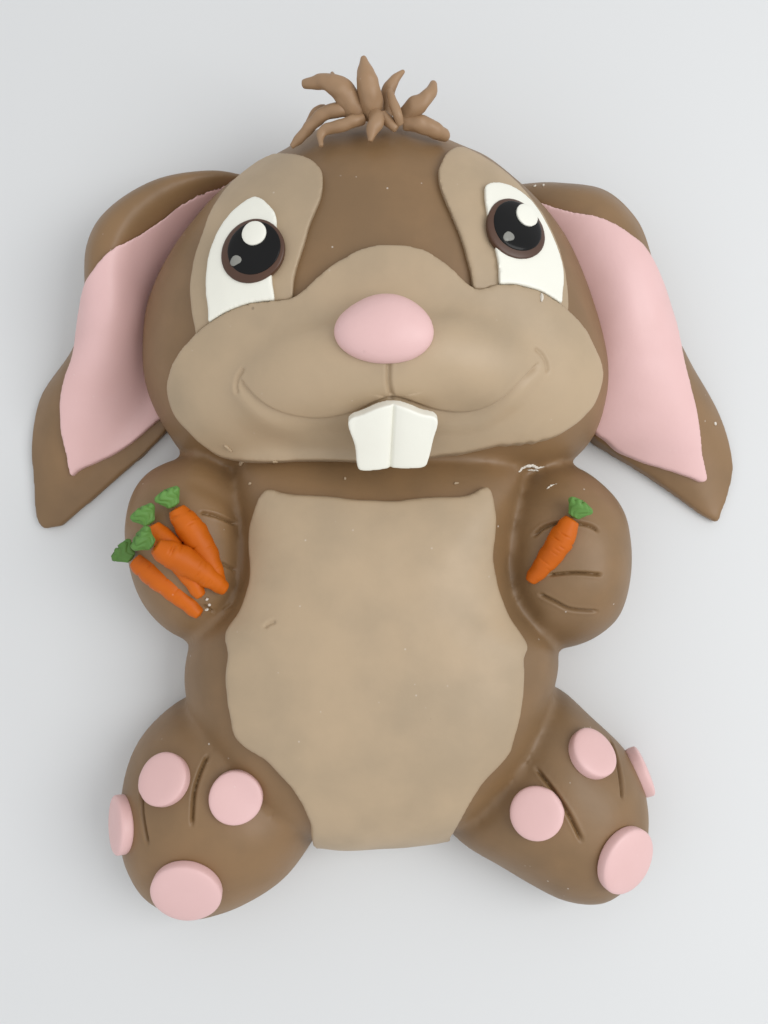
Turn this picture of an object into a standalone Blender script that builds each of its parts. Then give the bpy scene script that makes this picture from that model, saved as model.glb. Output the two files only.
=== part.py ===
"""A carrot cake made as a rabbit: it lies on its back under rolled fondant, face up, head towards +Y.

Lengths are in millimetres until a mesh is made. The origin is the middle of the footprint on the
surface that the cake stands on, and +Z points up out of the rabbit's face and belly.
"""
import math

import bmesh
import bpy
import numpy as np
from mathutils import Matrix, Vector
from mathutils.bvhtree import BVHTree

MM = 0.001
GAP = 0.3 * MM
# Where the middle of the footprint lies in the layout that the outlines are drawn in.
FOOTPRINT_MIDDLE = (0.0, -22.8)

HEAD_HEIGHT = 76.0
TORSO_HEIGHT = 57.0
ARM_HEIGHT = 49.0
FOOT_HEIGHT = 47.0
MUZZLE_HEIGHT = 88.0
MUZZLE_SHARE = 0.97
MUZZLE_SHEET = 4.4
BELLY_SHEET = 3.2
EYE_PATCH_SHEET = 3.0
EYE_WHITE_SHEET = 1.8
EAR_EDGE = 4.0
EAR_LINING = 2.2
VOXEL = 2.0 * MM
UPWARD = 0.2
BODY_EASING = 6
MUZZLE_EASING = 16
BODY_TRIANGLES = 2540
COVER_TRIANGLES = 1620

BROWN = (0.235, 0.148, 0.094)
TAN = (0.462, 0.352, 0.232)
PINK = (0.76, 0.50, 0.49)
WHITE = (0.86, 0.85, 0.78)
IRIS_BROWN = (0.055, 0.022, 0.012)
BLACK = (0.010, 0.010, 0.010)
ORANGE = (0.62, 0.14, 0.016)
GREEN = (0.075, 0.26, 0.085)

# Where each soft form meets the surface that the cake stands on.
HEAD_OUTLINE = [
    (-10, 139.5), (1, 139), (10, 136), (19, 132.5), (30, 128.5), (41, 124), (58, 110), (70.5, 96.5),
    (79, 82), (85, 66.5), (90, 50), (92, 38), (90.5, 25), (85, 11), (72, 0), (48, -8), (0, -11),
    (-50, -9), (-80, -2), (-94, 14), (-101, 29), (-102.5, 43), (-101, 61), (-94.5, 78), (-84, 94.5),
    (-73, 107), (-60, 117), (-47, 125), (-37, 132.5), (-21, 138.3)]
TORSO_OUTLINE = [
    (0, 12), (40, 12), (56, 4), (56, -10), (54, -25), (53, -42), (57, -56), (66, -66), (73, -76),
    (71, -92), (63, -120), (44, -141), (26, -149), (0, -152), (-18, -152.5), (-48, -145), (-68, -124),
    (-78, -97), (-78.5, -80), (-74, -69), (-65, -58), (-61, -44), (-61, -25), (-63, -8), (-60, 4),
    (-40, 12)]
ARM_L_OUTLINE = [
    (-70, 4), (-83, 1), (-96, -5), (-103, -14), (-105.5, -27), (-104.5, -39), (-100, -55), (-93, -66),
    (-83, -74), (-70, -77), (-58, -74), (-50, -62), (-48, -44), (-49, -28), (-54, -10)]
ARM_R_OUTLINE = [
    (62, 4), (79, 2), (91, -6), (98, -15), (101, -25), (102, -38), (100, -53), (95, -64), (84, -72),
    (71, -75), (57, -72), (46, -60), (40, -44), (40, -28), (46, -8)]
FOOT_L_OUTLINE = [
    (-62, -98), (-78, -99), (-87, -104), (-96, -114), (-101, -125), (-103, -139), (-102.5, -153),
    (-99, -166), (-90, -178), (-73, -185), (-60, -183), (-48, -178), (-36, -170), (-28, -160),
    (-23, -150), (-23, -139), (-31, -124), (-44, -108)]
FOOT_R_OUTLINE = [
    (60, -92), (75, -91), (90, -103), (103, -115), (109, -126), (111.5, -138), (111, -150), (108, -162),
    (100, -171), (90, -176), (76, -175), (63, -169), (48, -161), (34, -153), (28, -145), (31, -134),
    (38, -121), (48, -106)]
# Flat outlines of the sheets that lie on those forms.
MUZZLE_OUTLINE = [
    (-1, 68.5), (-9, 67.8), (-16, 65), (-22, 61.4), (-27.5, 56.8), (-32.5, 51.8), (-37, 49.2), (-44, 48.6),
    (-51, 47.8), (-58, 46), (-66, 42.2), (-73.5, 37), (-79, 31.5), (-82.5, 26), (-84, 20), (-81.5, 12),
    (-77, 7), (-71, 1.5), (-64, -2.5), (-55, -4), (-44, -4.5), (-22, -3.5), (0, -3.5), (21, 0), (41, 4),
    (52, 5.5), (61, 8), (68, 12), (74, 17), (78, 23), (80, 30), (79.5, 35), (76.5, 40), (71.5, 46),
    (66, 50.3), (59.5, 54), (52, 56.8), (43, 58), (35, 57), (28.5, 55), (24.5, 56.6), (19.5, 60.7),
    (13.5, 65), (7, 67.8)]
BELLY_OUTLINE = [
    (-46, -15.5), (-50, -24), (-51.5, -32), (-50.5, -47), (-53, -59), (-58.5, -68.5), (-57, -76),
    (-57.3, -88), (-55, -98.5), (-52, -107.5), (-42, -113.5), (-34, -121), (-28, -130), (-25, -138),
    (-24.5, -147), (-23, -154), (-21, -162), (0, -162), (26, -161), (29, -153.5), (29, -144),
    (32.5, -131.5), (38, -121),
    (45.5, -113), (49, -106.5), (51, -96), (52, -85), (52, -75), (53, -69), (47, -60), (42.5, -49.5),
    (40, -39), (40, -28), (40, -20), (37, -11.5), (29.5, -15), (15, -16.5), (4, -18), (-10, -18.3),
    (-25, -17.5), (-38, -16.5)]
EYE_PATCH_L = [
    (-46.3, 109.6), (-40.5, 107.2), (-34.5, 104.4), (-30.4, 100.8), (-27.8, 97), (-27.2, 91.6),
    (-27.9, 85.3), (-29.6, 80.4), (-31.4, 75), (-32.8, 69), (-34.4, 63.6), (-36, 56), (-38, 46),
    (-54, 38), (-69, 34), (-72, 42), (-73.8, 50), (-74.4, 57), (-74, 63.5), (-72.8, 70), (-71.2, 76.5),
    (-69.6, 83.5), (-67.4, 90), (-64.4, 95.5), (-60.2, 100.8), (-55.2, 105.4), (-50.8, 108.4)]
EYE_PATCH_R = [
    (18.2, 109.4), (22.5, 112.5), (29.6, 110.5), (37.2, 107), (45, 101), (50, 94.7), (54.5, 89), (58.8, 80),
    (61.6, 72), (63, 63), (62, 50), (50, 44), (32, 46), (27, 55), (25.4, 62), (23.4, 68.9), (21.3, 75),
    (19, 80.3), (16.5, 85.8), (14.4, 91.5), (13.6, 97.3), (14.2, 101), (16, 105.9)]
EYE_WHITE_L = [
    (-51.7, 87.2), (-48.7, 86), (-45.3, 82.5), (-43.4, 79.6), (-42.6, 76), (-42.9, 66.7), (-43.6, 57.1),
    (-43, 46), (-54, 40), (-65, 38), (-66.5, 47), (-67.6, 54), (-67.7, 61), (-67, 67), (-65.6, 72),
    (-63.2, 77.3), (-59.8, 82), (-55.8, 85.4)]
EYE_WHITE_R = [
    (30.2, 91.6), (31.6, 95), (36, 96.7), (41.6, 96.5), (47.5, 93.5), (52.2, 88), (56.2, 81), (59.5, 73),
    (60.8, 66.5), (60, 56), (58, 46), (37, 46), (35.7, 58), (34.9, 66.6), (31.5, 80)]
LINING_L = [
    (-62, 112), (-71, 107.8), (-79, 103.2), (-84.6, 99.2), (-90.2, 93.8), (-95.5, 88.7), (-100.5, 83.4),
    (-104.5, 79.7), (-108.7, 76.2), (-114.2, 70.3), (-120.5, 63), (-124.2, 55), (-126, 47.5), (-126.6, 41),
    (-127.8, 36), (-130, 31), (-131.8, 25.8), (-133, 20.4), (-133.4, 11.2), (-132.8, 5.3), (-131.5, -0.8),
    (-130.2, -9), (-126.7, -6.2), (-118, -1.4), (-108.7, 4.5), (-102.1, 10.3), (-96, 16), (-86, 24),
    (-84, 50), (-72, 80), (-56, 98)]
LINING_R = [
    (50, 108), (58.1, 105.1), (65, 101.6), (72.4, 98.9), (79.9, 96.8), (84, 95.1), (88, 93.1), (92.4, 90.4),
    (97.2, 88), (101.6, 84), (107, 77.5), (112, 70.5), (115.6, 63), (117, 56.5), (118.4, 50.8),
    (119.8, 45.2), (121.9, 39), (124.3, 32.7), (127, 25.8), (129.5, 18), (131.5, 10.1), (133.7, 4.1),
    (135.6, -1.6), (133, -2.7), (128.5, -1.2), (121.5, 0.9), (114.8, 2.7), (108.5, 4.6), (98.5, 8.4),
    (92, 12.6), (84, 20), (78, 50), (64, 80), (48, 98)]
TEETH_OUTLINE = [
    (-15.4, 8.1), (-10.4, 11.4), (-5, 14.3), (-0.5, 15.3), (3.9, 14.6), (9.1, 12.5), (15, 10.3),
    (14.1, 2.2), (13, -5.8), (11.2, -8.8), (2.3, -9.5), (-4.2, -10.3), (-10.2, -10.9), (-11.9, -8.9),
    (-12.9, -1)]

# Ear stations from root to tip: the edge at the head, the outer edge, the height of the arch, and how
# square the outer side of the arch is.
EAR_L_STATIONS = [
    (-54, 106, -63, 121, 20, 0.0), (-60, 99, -80, 120.8, 30, 0.0), (-66, 88, -104, 114.5, 37, 0.1),
    (-74, 76, -121.5, 101, 40, 0.3), (-82, 62, -127.5, 84, 40, 0.7), (-85, 48, -127.5, 61, 36, 0.8),
    (-86, 34, -133.5, 45, 29, 0.35), (-88, 20, -146, 25, 20, 0.2), (-97, 7, -149, 5, 12.5, 0.1),
    (-113, -9, -147.5, -12, 8, 0.0), (-127, -22, -145.5, -26, 5.5, 0.0), (-135, -29.5, -142.5, -31, 4.2, 0.0)]
EAR_R_STATIONS = [
    (44, 104, 48, 122, 22, 0.4), (52, 96, 68, 123, 32, 0.4), (60, 86, 90, 120.5, 38, 0.4),
    (66, 74, 104, 108.5, 40, 0.5), (74, 60, 110, 91, 40, 0.7), (78, 46, 116.5, 68, 37, 0.9),
    (80, 32, 128, 52, 30, 0.6), (86, 16, 143, 28, 21, 0.4), (96, 9, 149.5, 7, 13, 0.2),
    (112, 0, 147.5, -7, 8.5, 0.0), (129, -11, 145, -14.5, 5.5, 0.0), (138, -17, 143.5, -19.5, 4.2, 0.0)]
# For each ear: where its crest runs, how high the side at the head stays, how much of that side is
# valley, and how hollow the rise out of it is.
EAR_PROFILES = {"ear_l": (0.64, 0.08, 0.30, 2.0), "ear_r": (0.50, 0.50, 0.0, 1.0)}
# Two powers that bend the outer side of the arch, and how much each changes as it gets squarer.
EAR_FALL = (1.8, 1.0)
EAR_ROUND = (1.15, -0.6)

# Lines pressed into the fondant: points in plan, then width and depth.
FINGER_LINES = [
    ([(-69.5, -24.3), (-64, -25.3), (-57.6, -28)], 2.6, 1.5),
    ([(-63, -43.5), (-57, -45.5)], 2.4, 1.3),
    ([(-66.5, -60.5), (-62, -58.4), (-56.7, -54.7)], 2.6, 1.5),
    ([(57.3, -27), (61, -23.8), (69, -22.6), (79, -25)], 2.6, 1.5),
    ([(61.4, -43.7), (70.8, -42.6), (81, -43)], 2.6, 1.5),
    ([(61.5, -52), (68, -54.4), (73.7, -56.5), (82, -57)], 2.6, 1.5)]
TOE_LINES = [
    ([(-65, -118), (-67.4, -124.4), (-68, -139)], 3.0, 2.2),
    ([(-89, -127), (-87.7, -136), (-84.7, -147)], 3.0, 2.2),
    ([(58.7, -117), (64.8, -124.5), (70.6, -132.4), (75.2, -140.3)], 3.0, 2.2),
    ([(92.5, -111), (92.3, -120), (92, -128)], 3.0, 2.2)]
SMILE_LINES = [
    ([(-54.2, 21.8), (-52, 18.5), (-47.5, 14), (-42, 9.8), (-35, 6.8), (-27, 5.7), (-19.7, 6.5),
      (-12, 10.3), (-5, 14), (-0.5, 15.2)], 2.6, 1.8),
    ([(-0.5, 15.2), (5.3, 13.6), (13, 10.5), (20, 9.7), (27, 10), (34, 12.3), (41, 17.5), (46.7, 24.1),
      (51.5, 31.5)], 2.6, 1.8),
    ([(-53, 25.5), (-54.5, 21.1), (-55.6, 17)], 2.6, 1.6),
    ([(50, 36), (53.3, 33), (55.4, 27.5)], 2.6, 1.6),
    ([(-2.4, 24.5), (-2, 19.4), (-0.7, 15.5)], 2.4, 1.8)]

# Foot pads: a place in plan for those on the sole, or a place in space for those at its edge.
PAD_THICKNESS = 3.4
PAD_LIFT = 0.8
PAD_REST = 0.8
PADS = [
    ("pad_toe_l_outer", (-106.5, -144.5, 34), 11.2), ("pad_toe_l_middle", (-79.3, -124), 9.6),
    ("pad_toe_l_inner", (-52.6, -129), 9.8), ("pad_heel_l", (-69.5, -163.5), 13.0),
    ("pad_toe_r_outer", (112, -120.5, 17), 10.2), ("pad_toe_r_middle", (80.8, -111.5), 9.8),
    ("pad_toe_r_inner", (59.2, -132.2), 9.8), ("pad_heel_r", (93.5, -149.5), 12.8)]

# The eyes: places in plan, and for each layer its radius and how far it stands above what it lies on.
IRIS_PLACES = {"l": (-49.5, 65.8), "r": (40.3, 77.8)}
PUPIL_PLACES = {"l": (-48.7, 66.2), "r": (39.9, 77.6)}
GLINT_PLACES = {"l": (-48.5, 70.9), "r": (42.7, 82.0)}
SPARK_PLACES = {"l": (-54.5, 62.0), "r": (36.4, 73.3)}
IRIS = (11.5, 2.2)
PUPIL = (9.4, 1.7)
GLINT = (4.1, 1.5)
SPARK = (1.9, 0.9)
NOSE_MIDDLE = (-4.4, 37.2)
NOSE_RADII = (16.4, 11.9, 8.6)
TEETH_THICKNESS = 4.4
TEETH_MIDDLE_HEIGHT = 76.0
TEETH_LEAN = 38.0
TOOTH_PARTING = (0.9, 0.8)

# Carrots: the crown and the tip in plan, the radius, and how far each is lifted off the paw.
CARROT_SINK = 0.8
CARROT_GIRTH = (0.72, 1.0, 0.94, 0.78, 0.55, 0.16)
CARROT_TIP_REST = 0.55
LEAF_PLACES = (-0.6, 2.0, 5.0, 7.2)
LEAF_RADII = (2.6, 3.2, 4.3, 3.0)
CARROTS = [
    ("carrot_1", (-78.9, -22.4), (-61.0, -52.0), 5.2, 0.0),
    ("carrot_2", (-87.5, -29.0), (-67.6, -56.6), 4.5, 0.0),
    ("carrot_4", (-95.4, -42.2), (-68.2, -63.4), 4.5, 0.0),
    ("carrot_3", (-84.8, -37.2), (-58.6, -53.6), 5.2, 5.0),
    ("carrot_5", (69.4, -21.5), (54.2, -47.2), 4.8, 0.0)]

# Hair strands: the points along each, from the tuft to its tip, then the thickest radius. A strand's
# girth is a share of that radius at four places along it.
STRAND_PLACES = (0.0, 0.35, 0.8, 1.0)
STRAND_GIRTH = (0.75, 1.0, 0.62, 0.14)
STRANDS = [
    ("hair_curl_l", [(-15.5, 120.5, 66), (-18.7, 124.8, 70), (-22.3, 127.4, 72.5), (-26.6, 129, 72.5),
                     (-31.4, 129.7, 70.5), (-35.8, 130, 68.5)], 3.6),
    ("hair_curl_back", [(-23, 130.5, 66), (-24.9, 134, 65.5), (-25.7, 137.5, 64)], 1.5),
    ("hair_spike", [(-10.3, 120.5, 67), (-11.1, 123.5, 72), (-12.4, 127.7, 75), (-13.6, 132.2, 76),
                    (-14.5, 137.3, 76)], 4.0),
    ("hair_spike_r", [(-5.4, 123, 64), (-5.3, 128.3, 68), (-3.4, 132.3, 70), (0.4, 135.9, 70)], 2.4),
    ("hair_lit", [(-4.8, 126.8, 73), (-3.3, 121.9, 74), (-1.7, 117.6, 73.5), (-0.4, 115.1, 71.5)], 1.7),
    ("hair_r_up", [(0.5, 121.2, 65), (4.2, 123.4, 69), (7.8, 125.3, 71), (10.3, 128.4, 71),
                   (11.3, 132.3, 70)], 2.9),
    ("hair_r_low", [(2, 118.5, 66), (6, 118.2, 67), (11, 117.2, 66), (15, 117, 63), (17, 117.8, 61)], 3.0),
    ("hair_front", [(-9.6, 117.8, 71.5), (-9.4, 114.6, 73), (-10.8, 111.5, 73.5), (-11, 107.7, 73)], 2.5),
    ("hair_cross", [(-7, 119, 70.5), (-4.2, 116, 71), (-1.6, 113.8, 71)], 2.0),
    ("hair_l_low", [(-13.5, 117.5, 70), (-17.7, 115.8, 71), (-22.7, 114.2, 70), (-27.4, 114, 68.5),
                    (-29, 111.2, 68.5), (-28.4, 106.9, 69.5)], 2.0),
    ("hair_l_arch", [(-18.5, 121.5, 68), (-22.4, 121, 69), (-27.2, 120.4, 67.5), (-31, 118.5, 65),
                     (-35.5, 114.5, 62.5), (-40, 110.4, 60.5)], 2.3),
    ("hair_l_back", [(-27.5, 124.5, 62), (-31.3, 123.3, 62), (-34.5, 120, 60)], 1.8)]


def clear_scene():
    """Start from nothing."""
    for obj in list(bpy.data.objects):
        bpy.data.objects.remove(obj, do_unlink=True)


def collection(name):
    """A new collection in the scene."""
    made = bpy.data.collections.new(name)
    bpy.context.scene.collection.children.link(made)
    return made


def material(name, colour, roughness):
    """A plain finish."""
    made = bpy.data.materials.new(name)
    made.use_nodes = True
    shader = made.node_tree.nodes["Principled BSDF"]
    shader.inputs["Base Color"].default_value = (*colour, 1.0)
    shader.inputs["Roughness"].default_value = roughness
    shader.inputs["Metallic"].default_value = 0.0
    return made


def place(x, y, z):
    """A point of the layout, in metres from the origin."""
    return ((x - FOOTPRINT_MIDDLE[0]) * MM, (y - FOOTPRINT_MIDDLE[1]) * MM, z * MM)


def smooth_line(points, per_span, closed):
    """A Catmull-Rom curve through the points."""
    knots = np.array(points, float)
    count = len(knots)
    out = []
    for i in range(count if closed else count - 1):
        if closed:
            a, b, c, d = (knots[(i + k) % count] for k in (-1, 0, 1, 2))
        else:
            a, b, c, d = (knots[min(max(i + k, 0), count - 1)] for k in (-1, 0, 1, 2))
        for t in np.arange(per_span) / per_span:
            out.append(0.5 * (2 * b + (c - a) * t + (2 * a - 5 * b + 4 * c - d) * t * t
                              + (3 * b - a - 3 * c + d) * t ** 3))
    if not closed:
        out.append(knots[-1])
    return np.array(out)


def from_bmesh(name, bm, group):
    """Turn a bmesh into an object of the group."""
    mesh = bpy.data.meshes.new(name)
    bm.to_mesh(mesh)
    bm.free()
    obj = bpy.data.objects.new(name, mesh)
    group.objects.link(obj)
    return obj


def settle(obj):
    """Make what the modifiers give the object's own mesh."""
    depsgraph = bpy.context.evaluated_depsgraph_get()
    depsgraph.update()
    mesh = bpy.data.meshes.new_from_object(obj.evaluated_get(depsgraph), depsgraph=depsgraph)
    obj.modifiers.clear()
    old = obj.data
    obj.data = mesh
    bpy.data.meshes.remove(old)
    return obj


def remove(*objects):
    """Take helpers out of the file."""
    for obj in objects:
        bpy.data.objects.remove(obj, do_unlink=True)


def boolean(obj, other, operation):
    """Join, cut or keep what two closed meshes share, and settle it."""
    cut = obj.modifiers.new("cut", "BOOLEAN")
    cut.operation = operation
    cut.object = other
    depsgraph = bpy.context.evaluated_depsgraph_get()
    depsgraph.update()
    if not obj.evaluated_get(depsgraph).data.polygons:
        cut.solver = "MANIFOLD"
    return settle(obj)


def swollen(obj, by, group):
    """A copy whose surface stands out by a distance."""
    mesh = obj.data.copy()
    copy = bpy.data.objects.new(obj.name + "_room", mesh)
    group.objects.link(copy)
    count = len(mesh.vertices)
    spots = np.empty(count * 3, np.float32)
    mesh.vertices.foreach_get("co", spots)
    normals = np.empty(count * 3, np.float32)
    mesh.vertex_normals.foreach_get("vector", normals)
    mesh.vertices.foreach_set("co", spots + normals * by)
    mesh.update()
    return copy


def keep_largest(obj):
    """Drop the scraps that a cut leaves beside the piece."""
    bm = bmesh.new()
    bm.from_mesh(obj.data)
    bmesh.ops.remove_doubles(bm, verts=bm.verts, dist=0.02 * MM)
    bmesh.ops.dissolve_degenerate(bm, dist=0.02 * MM, edges=bm.edges)
    bm.faces.ensure_lookup_table()
    seen = set()
    bodies = []
    for face in bm.faces:
        if face.index in seen:
            continue
        body = []
        queue = [face]
        seen.add(face.index)
        while queue:
            at = queue.pop()
            body.append(at)
            for edge in at.edges:
                for near in edge.link_faces:
                    if near.index not in seen:
                        seen.add(near.index)
                        queue.append(near)
        bodies.append(body)
    bodies.sort(key=lambda body: sum(face.calc_area() for face in body))
    scraps = [face for body in bodies[:-1] for face in body]
    bmesh.ops.delete(bm, geom=scraps, context="FACES")
    bmesh.ops.triangulate(bm, faces=bm.faces)
    bm.to_mesh(obj.data)
    bm.free()


def make_room(obj, neighbours, group):
    """Cut the neighbours out of a piece, each with the gap that touching meshes keep."""
    for neighbour in neighbours:
        room = swollen(neighbour, GAP, group)
        boolean(obj, room, "DIFFERENCE")
        remove(room)
    keep_largest(obj)


def pillow(bm, outline, height, stand_out, shoulder=2.4, below=12.0, around=72, rows=24):
    """A soft form that rises from its outline: a sphere shaped to the outline and the height."""
    curve = smooth_line(outline, 8, True)
    middle = curve.mean(axis=0)
    reach = curve - middle
    bearing = np.arctan2(reach[:, 1], reach[:, 0])
    order = np.argsort(bearing)
    bearing = bearing[order]
    distance = np.hypot(reach[:, 0], reach[:, 1])[order]
    made = bmesh.ops.create_uvsphere(bm, u_segments=around, v_segments=rows, radius=1.0)
    for vert in made["verts"]:
        x, y, z = vert.co
        turn = math.atan2(y, x)
        side = min(math.hypot(x, y), 1.0)
        radius = np.interp(turn, bearing, distance, period=2 * math.pi) + stand_out
        flat = side ** (2.0 / shoulder)
        rise = abs(z) ** (2.0 / shoulder) * (height + stand_out if z > 0 else -below)
        vert.co = place(middle[0] + math.cos(turn) * flat * radius,
                        middle[1] + math.sin(turn) * flat * radius, rise)


def press_lines(obj, lines):
    """Press creases into the upward surface along lines in plan."""
    mesh = obj.data
    count = len(mesh.vertices)
    spots = np.empty(count * 3, np.float32)
    mesh.vertices.foreach_get("co", spots)
    spots = spots.reshape(-1, 3)
    normals = np.empty(count * 3, np.float32)
    mesh.vertex_normals.foreach_get("vector", normals)
    normals = normals.reshape(-1, 3)
    for points, width, depth in lines:
        line = smooth_line(points, 6, False)
        line = np.array([place(x, y, 0)[:2] for x, y in line])
        nearest = np.full(count, 1e9)
        for a, b in zip(line[:-1], line[1:]):
            along = np.clip(((spots[:, :2] - a) @ (b - a)) / ((b - a) @ (b - a)), 0, 1)
            nearest = np.minimum(nearest, np.hypot(*(spots[:, :2] - a - along[:, None] * (b - a)).T))
        press = np.clip(1 - (nearest / (width * MM)) ** 2, 0, 1) ** 2 * depth * MM
        press[normals[:, 2] < UPWARD] = 0
        spots -= (normals * press[:, None]).astype(np.float32)
    mesh.vertices.foreach_set("co", spots.ravel())
    mesh.update()


def drawn_in(outline, share):
    """An outline made smaller about its middle."""
    points = np.array(outline, float)
    middle = points.mean(axis=0)
    return middle + (points - middle) * share


def draped(name, stand_out, group, muzzle, triangles, lines):
    """The cake's forms as one draped surface, standing out by a sheet's thickness."""
    bm = bmesh.new()
    pillow(bm, HEAD_OUTLINE, HEAD_HEIGHT, stand_out)
    pillow(bm, TORSO_OUTLINE, TORSO_HEIGHT, stand_out, shoulder=3.0)
    for outline in (ARM_L_OUTLINE, ARM_R_OUTLINE):
        pillow(bm, outline, ARM_HEIGHT, stand_out)
    for outline in (FOOT_L_OUTLINE, FOOT_R_OUTLINE):
        pillow(bm, outline, FOOT_HEIGHT, stand_out)
    if muzzle:
        pillow(bm, drawn_in(MUZZLE_OUTLINE, MUZZLE_SHARE), MUZZLE_HEIGHT, 0.0, shoulder=2.3)
    obj = from_bmesh(name, bm, group)
    fuse = obj.modifiers.new("fuse", "REMESH")
    fuse.mode = "VOXEL"
    fuse.voxel_size = VOXEL
    ease = obj.modifiers.new("ease", "SMOOTH")
    ease.factor = 0.5
    ease.iterations = MUZZLE_EASING if muzzle else BODY_EASING
    settle(obj)
    press_lines(obj, lines)
    thin = obj.modifiers.new("thin", "DECIMATE")
    thin.ratio = triangles / (2.0 * len(obj.data.polygons))
    return settle(obj)


def block(name, low, high, group):
    """A box between two corners of the layout."""
    bm = bmesh.new()
    bmesh.ops.create_cube(bm, size=1.0)
    for vert in bm.verts:
        vert.co = place(*(low[i] + (vert.co[i] + 0.5) * (high[i] - low[i]) for i in range(3)))
    return from_bmesh(name, bm, group)


def prism(name, outline, low, high, group, per_span=1):
    """A flat outline raised between two heights."""
    curve = smooth_line(outline, per_span, True)
    area = np.sum(curve[:, 0] * np.roll(curve[:, 1], -1) - curve[:, 1] * np.roll(curve[:, 0], -1))
    if area < 0:
        curve = curve[::-1]
    bm = bmesh.new()
    floor = [bm.verts.new(place(x, y, low)) for x, y in curve]
    face = bm.faces.new(floor)
    raised = bmesh.ops.extrude_face_region(bm, geom=[face])
    for item in raised["geom"]:
        if isinstance(item, bmesh.types.BMVert):
            item.co.z = high * MM
    bmesh.ops.recalc_face_normals(bm, faces=bm.faces)
    return from_bmesh(name, bm, group)


def ear(name, stations, group, along=12, across=9):
    """A lop ear: a grid bent into an arch from station to station, and thick down to the surface."""
    rows = smooth_line(stations, 8, False)
    crest, head_side, valley, hollow = EAR_PROFILES[name]
    bm = bmesh.new()
    bmesh.ops.create_grid(bm, x_segments=along, y_segments=across, size=0.5)
    for vert in bm.verts:
        row = rows[int(round((vert.co.x + 0.5) * (len(rows) - 1)))]
        part = vert.co.y + 0.5
        inner, outer, height, square = row[0:2], row[2:4], row[4], min(max(row[5], 0.0), 1.0)
        spot = inner * (1 - part) + outer * part
        if part < crest:
            climb = max(0.0, (part / crest - valley) / (1 - valley))
            lift = head_side + (1 - head_side) * math.sin(0.5 * math.pi * climb) ** hollow
        else:
            out = (part - crest) / (1 - crest)
            lift = (1 - out ** (EAR_FALL[0] + EAR_FALL[1] * square)) ** (EAR_ROUND[0] + EAR_ROUND[1] * square)
        vert.co = place(spot[0], spot[1], EAR_EDGE + (height - EAR_EDGE) * lift)
    if sum(face.normal.z for face in bm.faces) < 0:
        bmesh.ops.reverse_faces(bm, faces=bm.faces)
    lowered = bmesh.ops.extrude_face_region(bm, geom=bm.faces[:])
    top = [item for item in lowered["geom"] if isinstance(item, bmesh.types.BMVert)]
    for vert in set(bm.verts) - set(top):
        vert.co.z = 0.0
    bmesh.ops.recalc_face_normals(bm, faces=bm.faces)
    bmesh.ops.triangulate(bm, faces=bm.faces)
    return from_bmesh(name, bm, group)


def sheet(name, outline, outer, neighbours, parts, cutters, low=20.0, high=130.0, per_span=1):
    """A cut-out sheet: what its outline keeps of an outer surface, clear of what lies below."""
    obj = prism(name, outline, low, high, parts, per_span)
    boolean(obj, outer, "INTERSECT")
    make_room(obj, neighbours, cutters)
    return obj


def button(name, spot, facing, radii, neighbours, parts, cutters, segments=14, rows=6, square=0.5):
    """A rounded button pressed on a surface, along the way it faces: a sphere, flattened and squared."""
    bm = bmesh.new()
    bmesh.ops.create_uvsphere(bm, u_segments=segments, v_segments=rows, radius=1.0)
    up = Vector(facing).normalized()
    right = (Vector((1, 0, 0)) - up * up.x).normalized()
    turn = Matrix((right, up.cross(right), up)).transposed()
    for vert in bm.verts:
        x, y, z = vert.co
        wide = math.hypot(x, y)
        grow = wide ** square / wide if wide > 1e-6 else 0.0
        rise = math.copysign(abs(z) ** (0.5 + 0.5 * square), z)
        flat = Vector((x * grow * radii[0], y * grow * radii[1], rise * radii[2])) * MM
        vert.co = Vector(spot) + turn @ flat
    obj = from_bmesh(name, bm, parts)
    make_room(obj, neighbours, cutters)
    return obj


def tree_of(obj):
    """A search tree over an object's surface."""
    bm = bmesh.new()
    bm.from_mesh(obj.data)
    tree = BVHTree.FromBMesh(bm)
    bm.free()
    return tree


def top_of(tree, x, y):
    """The highest point of a surface at a place of the layout, with the way it faces."""
    spot, normal, _, _ = tree.ray_cast(Vector(place(x, y, 200)), Vector((0, 0, -1)))
    return spot, normal


def rest_on(tree, x, y, radius):
    """Where a stiff round piece comes to rest on a surface, and the way it then faces."""
    middle, facing = top_of(tree, x, y)
    rim = [top_of(tree, x + radius * math.cos(turn), y + radius * math.sin(turn))
           for turn in np.arange(8) * math.pi / 4]
    facing = (facing + sum((normal for _, normal in rim), Vector())).normalized()
    raised = max(0.0, max((spot - middle).dot(facing) for spot, _ in rim))
    return middle + facing * raised, facing


def tube(name, points, radii, group, sides=8, per_span=2):
    """A rolled strand along a smooth line, with a rounded root and a pointed tip."""
    line = smooth_line([(*place(*p), r * MM) for p, r in zip(points, radii)], per_span, False)
    curve = bpy.data.curves.new(name, "CURVE")
    curve.dimensions = "3D"
    curve.bevel_depth = 1.0
    curve.bevel_resolution = max(0, sides // 2 - 2)
    curve.use_fill_caps = True
    spline = curve.splines.new("POLY")
    spline.points.add(len(line) - 1)
    for point, (x, y, z, radius) in zip(spline.points, line):
        point.co = (x, y, z, 1.0)
        point.radius = radius
    guide = bpy.data.objects.new(name + "_line", curve)
    group.objects.link(guide)
    depsgraph = bpy.context.evaluated_depsgraph_get()
    depsgraph.update()
    mesh = bpy.data.meshes.new_from_object(guide.evaluated_get(depsgraph), depsgraph=depsgraph)
    bm = bmesh.new()
    bm.from_mesh(mesh)
    bmesh.ops.remove_doubles(bm, verts=bm.verts, dist=0.02 * MM)
    bmesh.ops.recalc_face_normals(bm, faces=bm.faces)
    bmesh.ops.triangulate(bm, faces=bm.faces)
    bpy.data.meshes.remove(mesh)
    remove(guide)
    return from_bmesh(name, bm, group)


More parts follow.
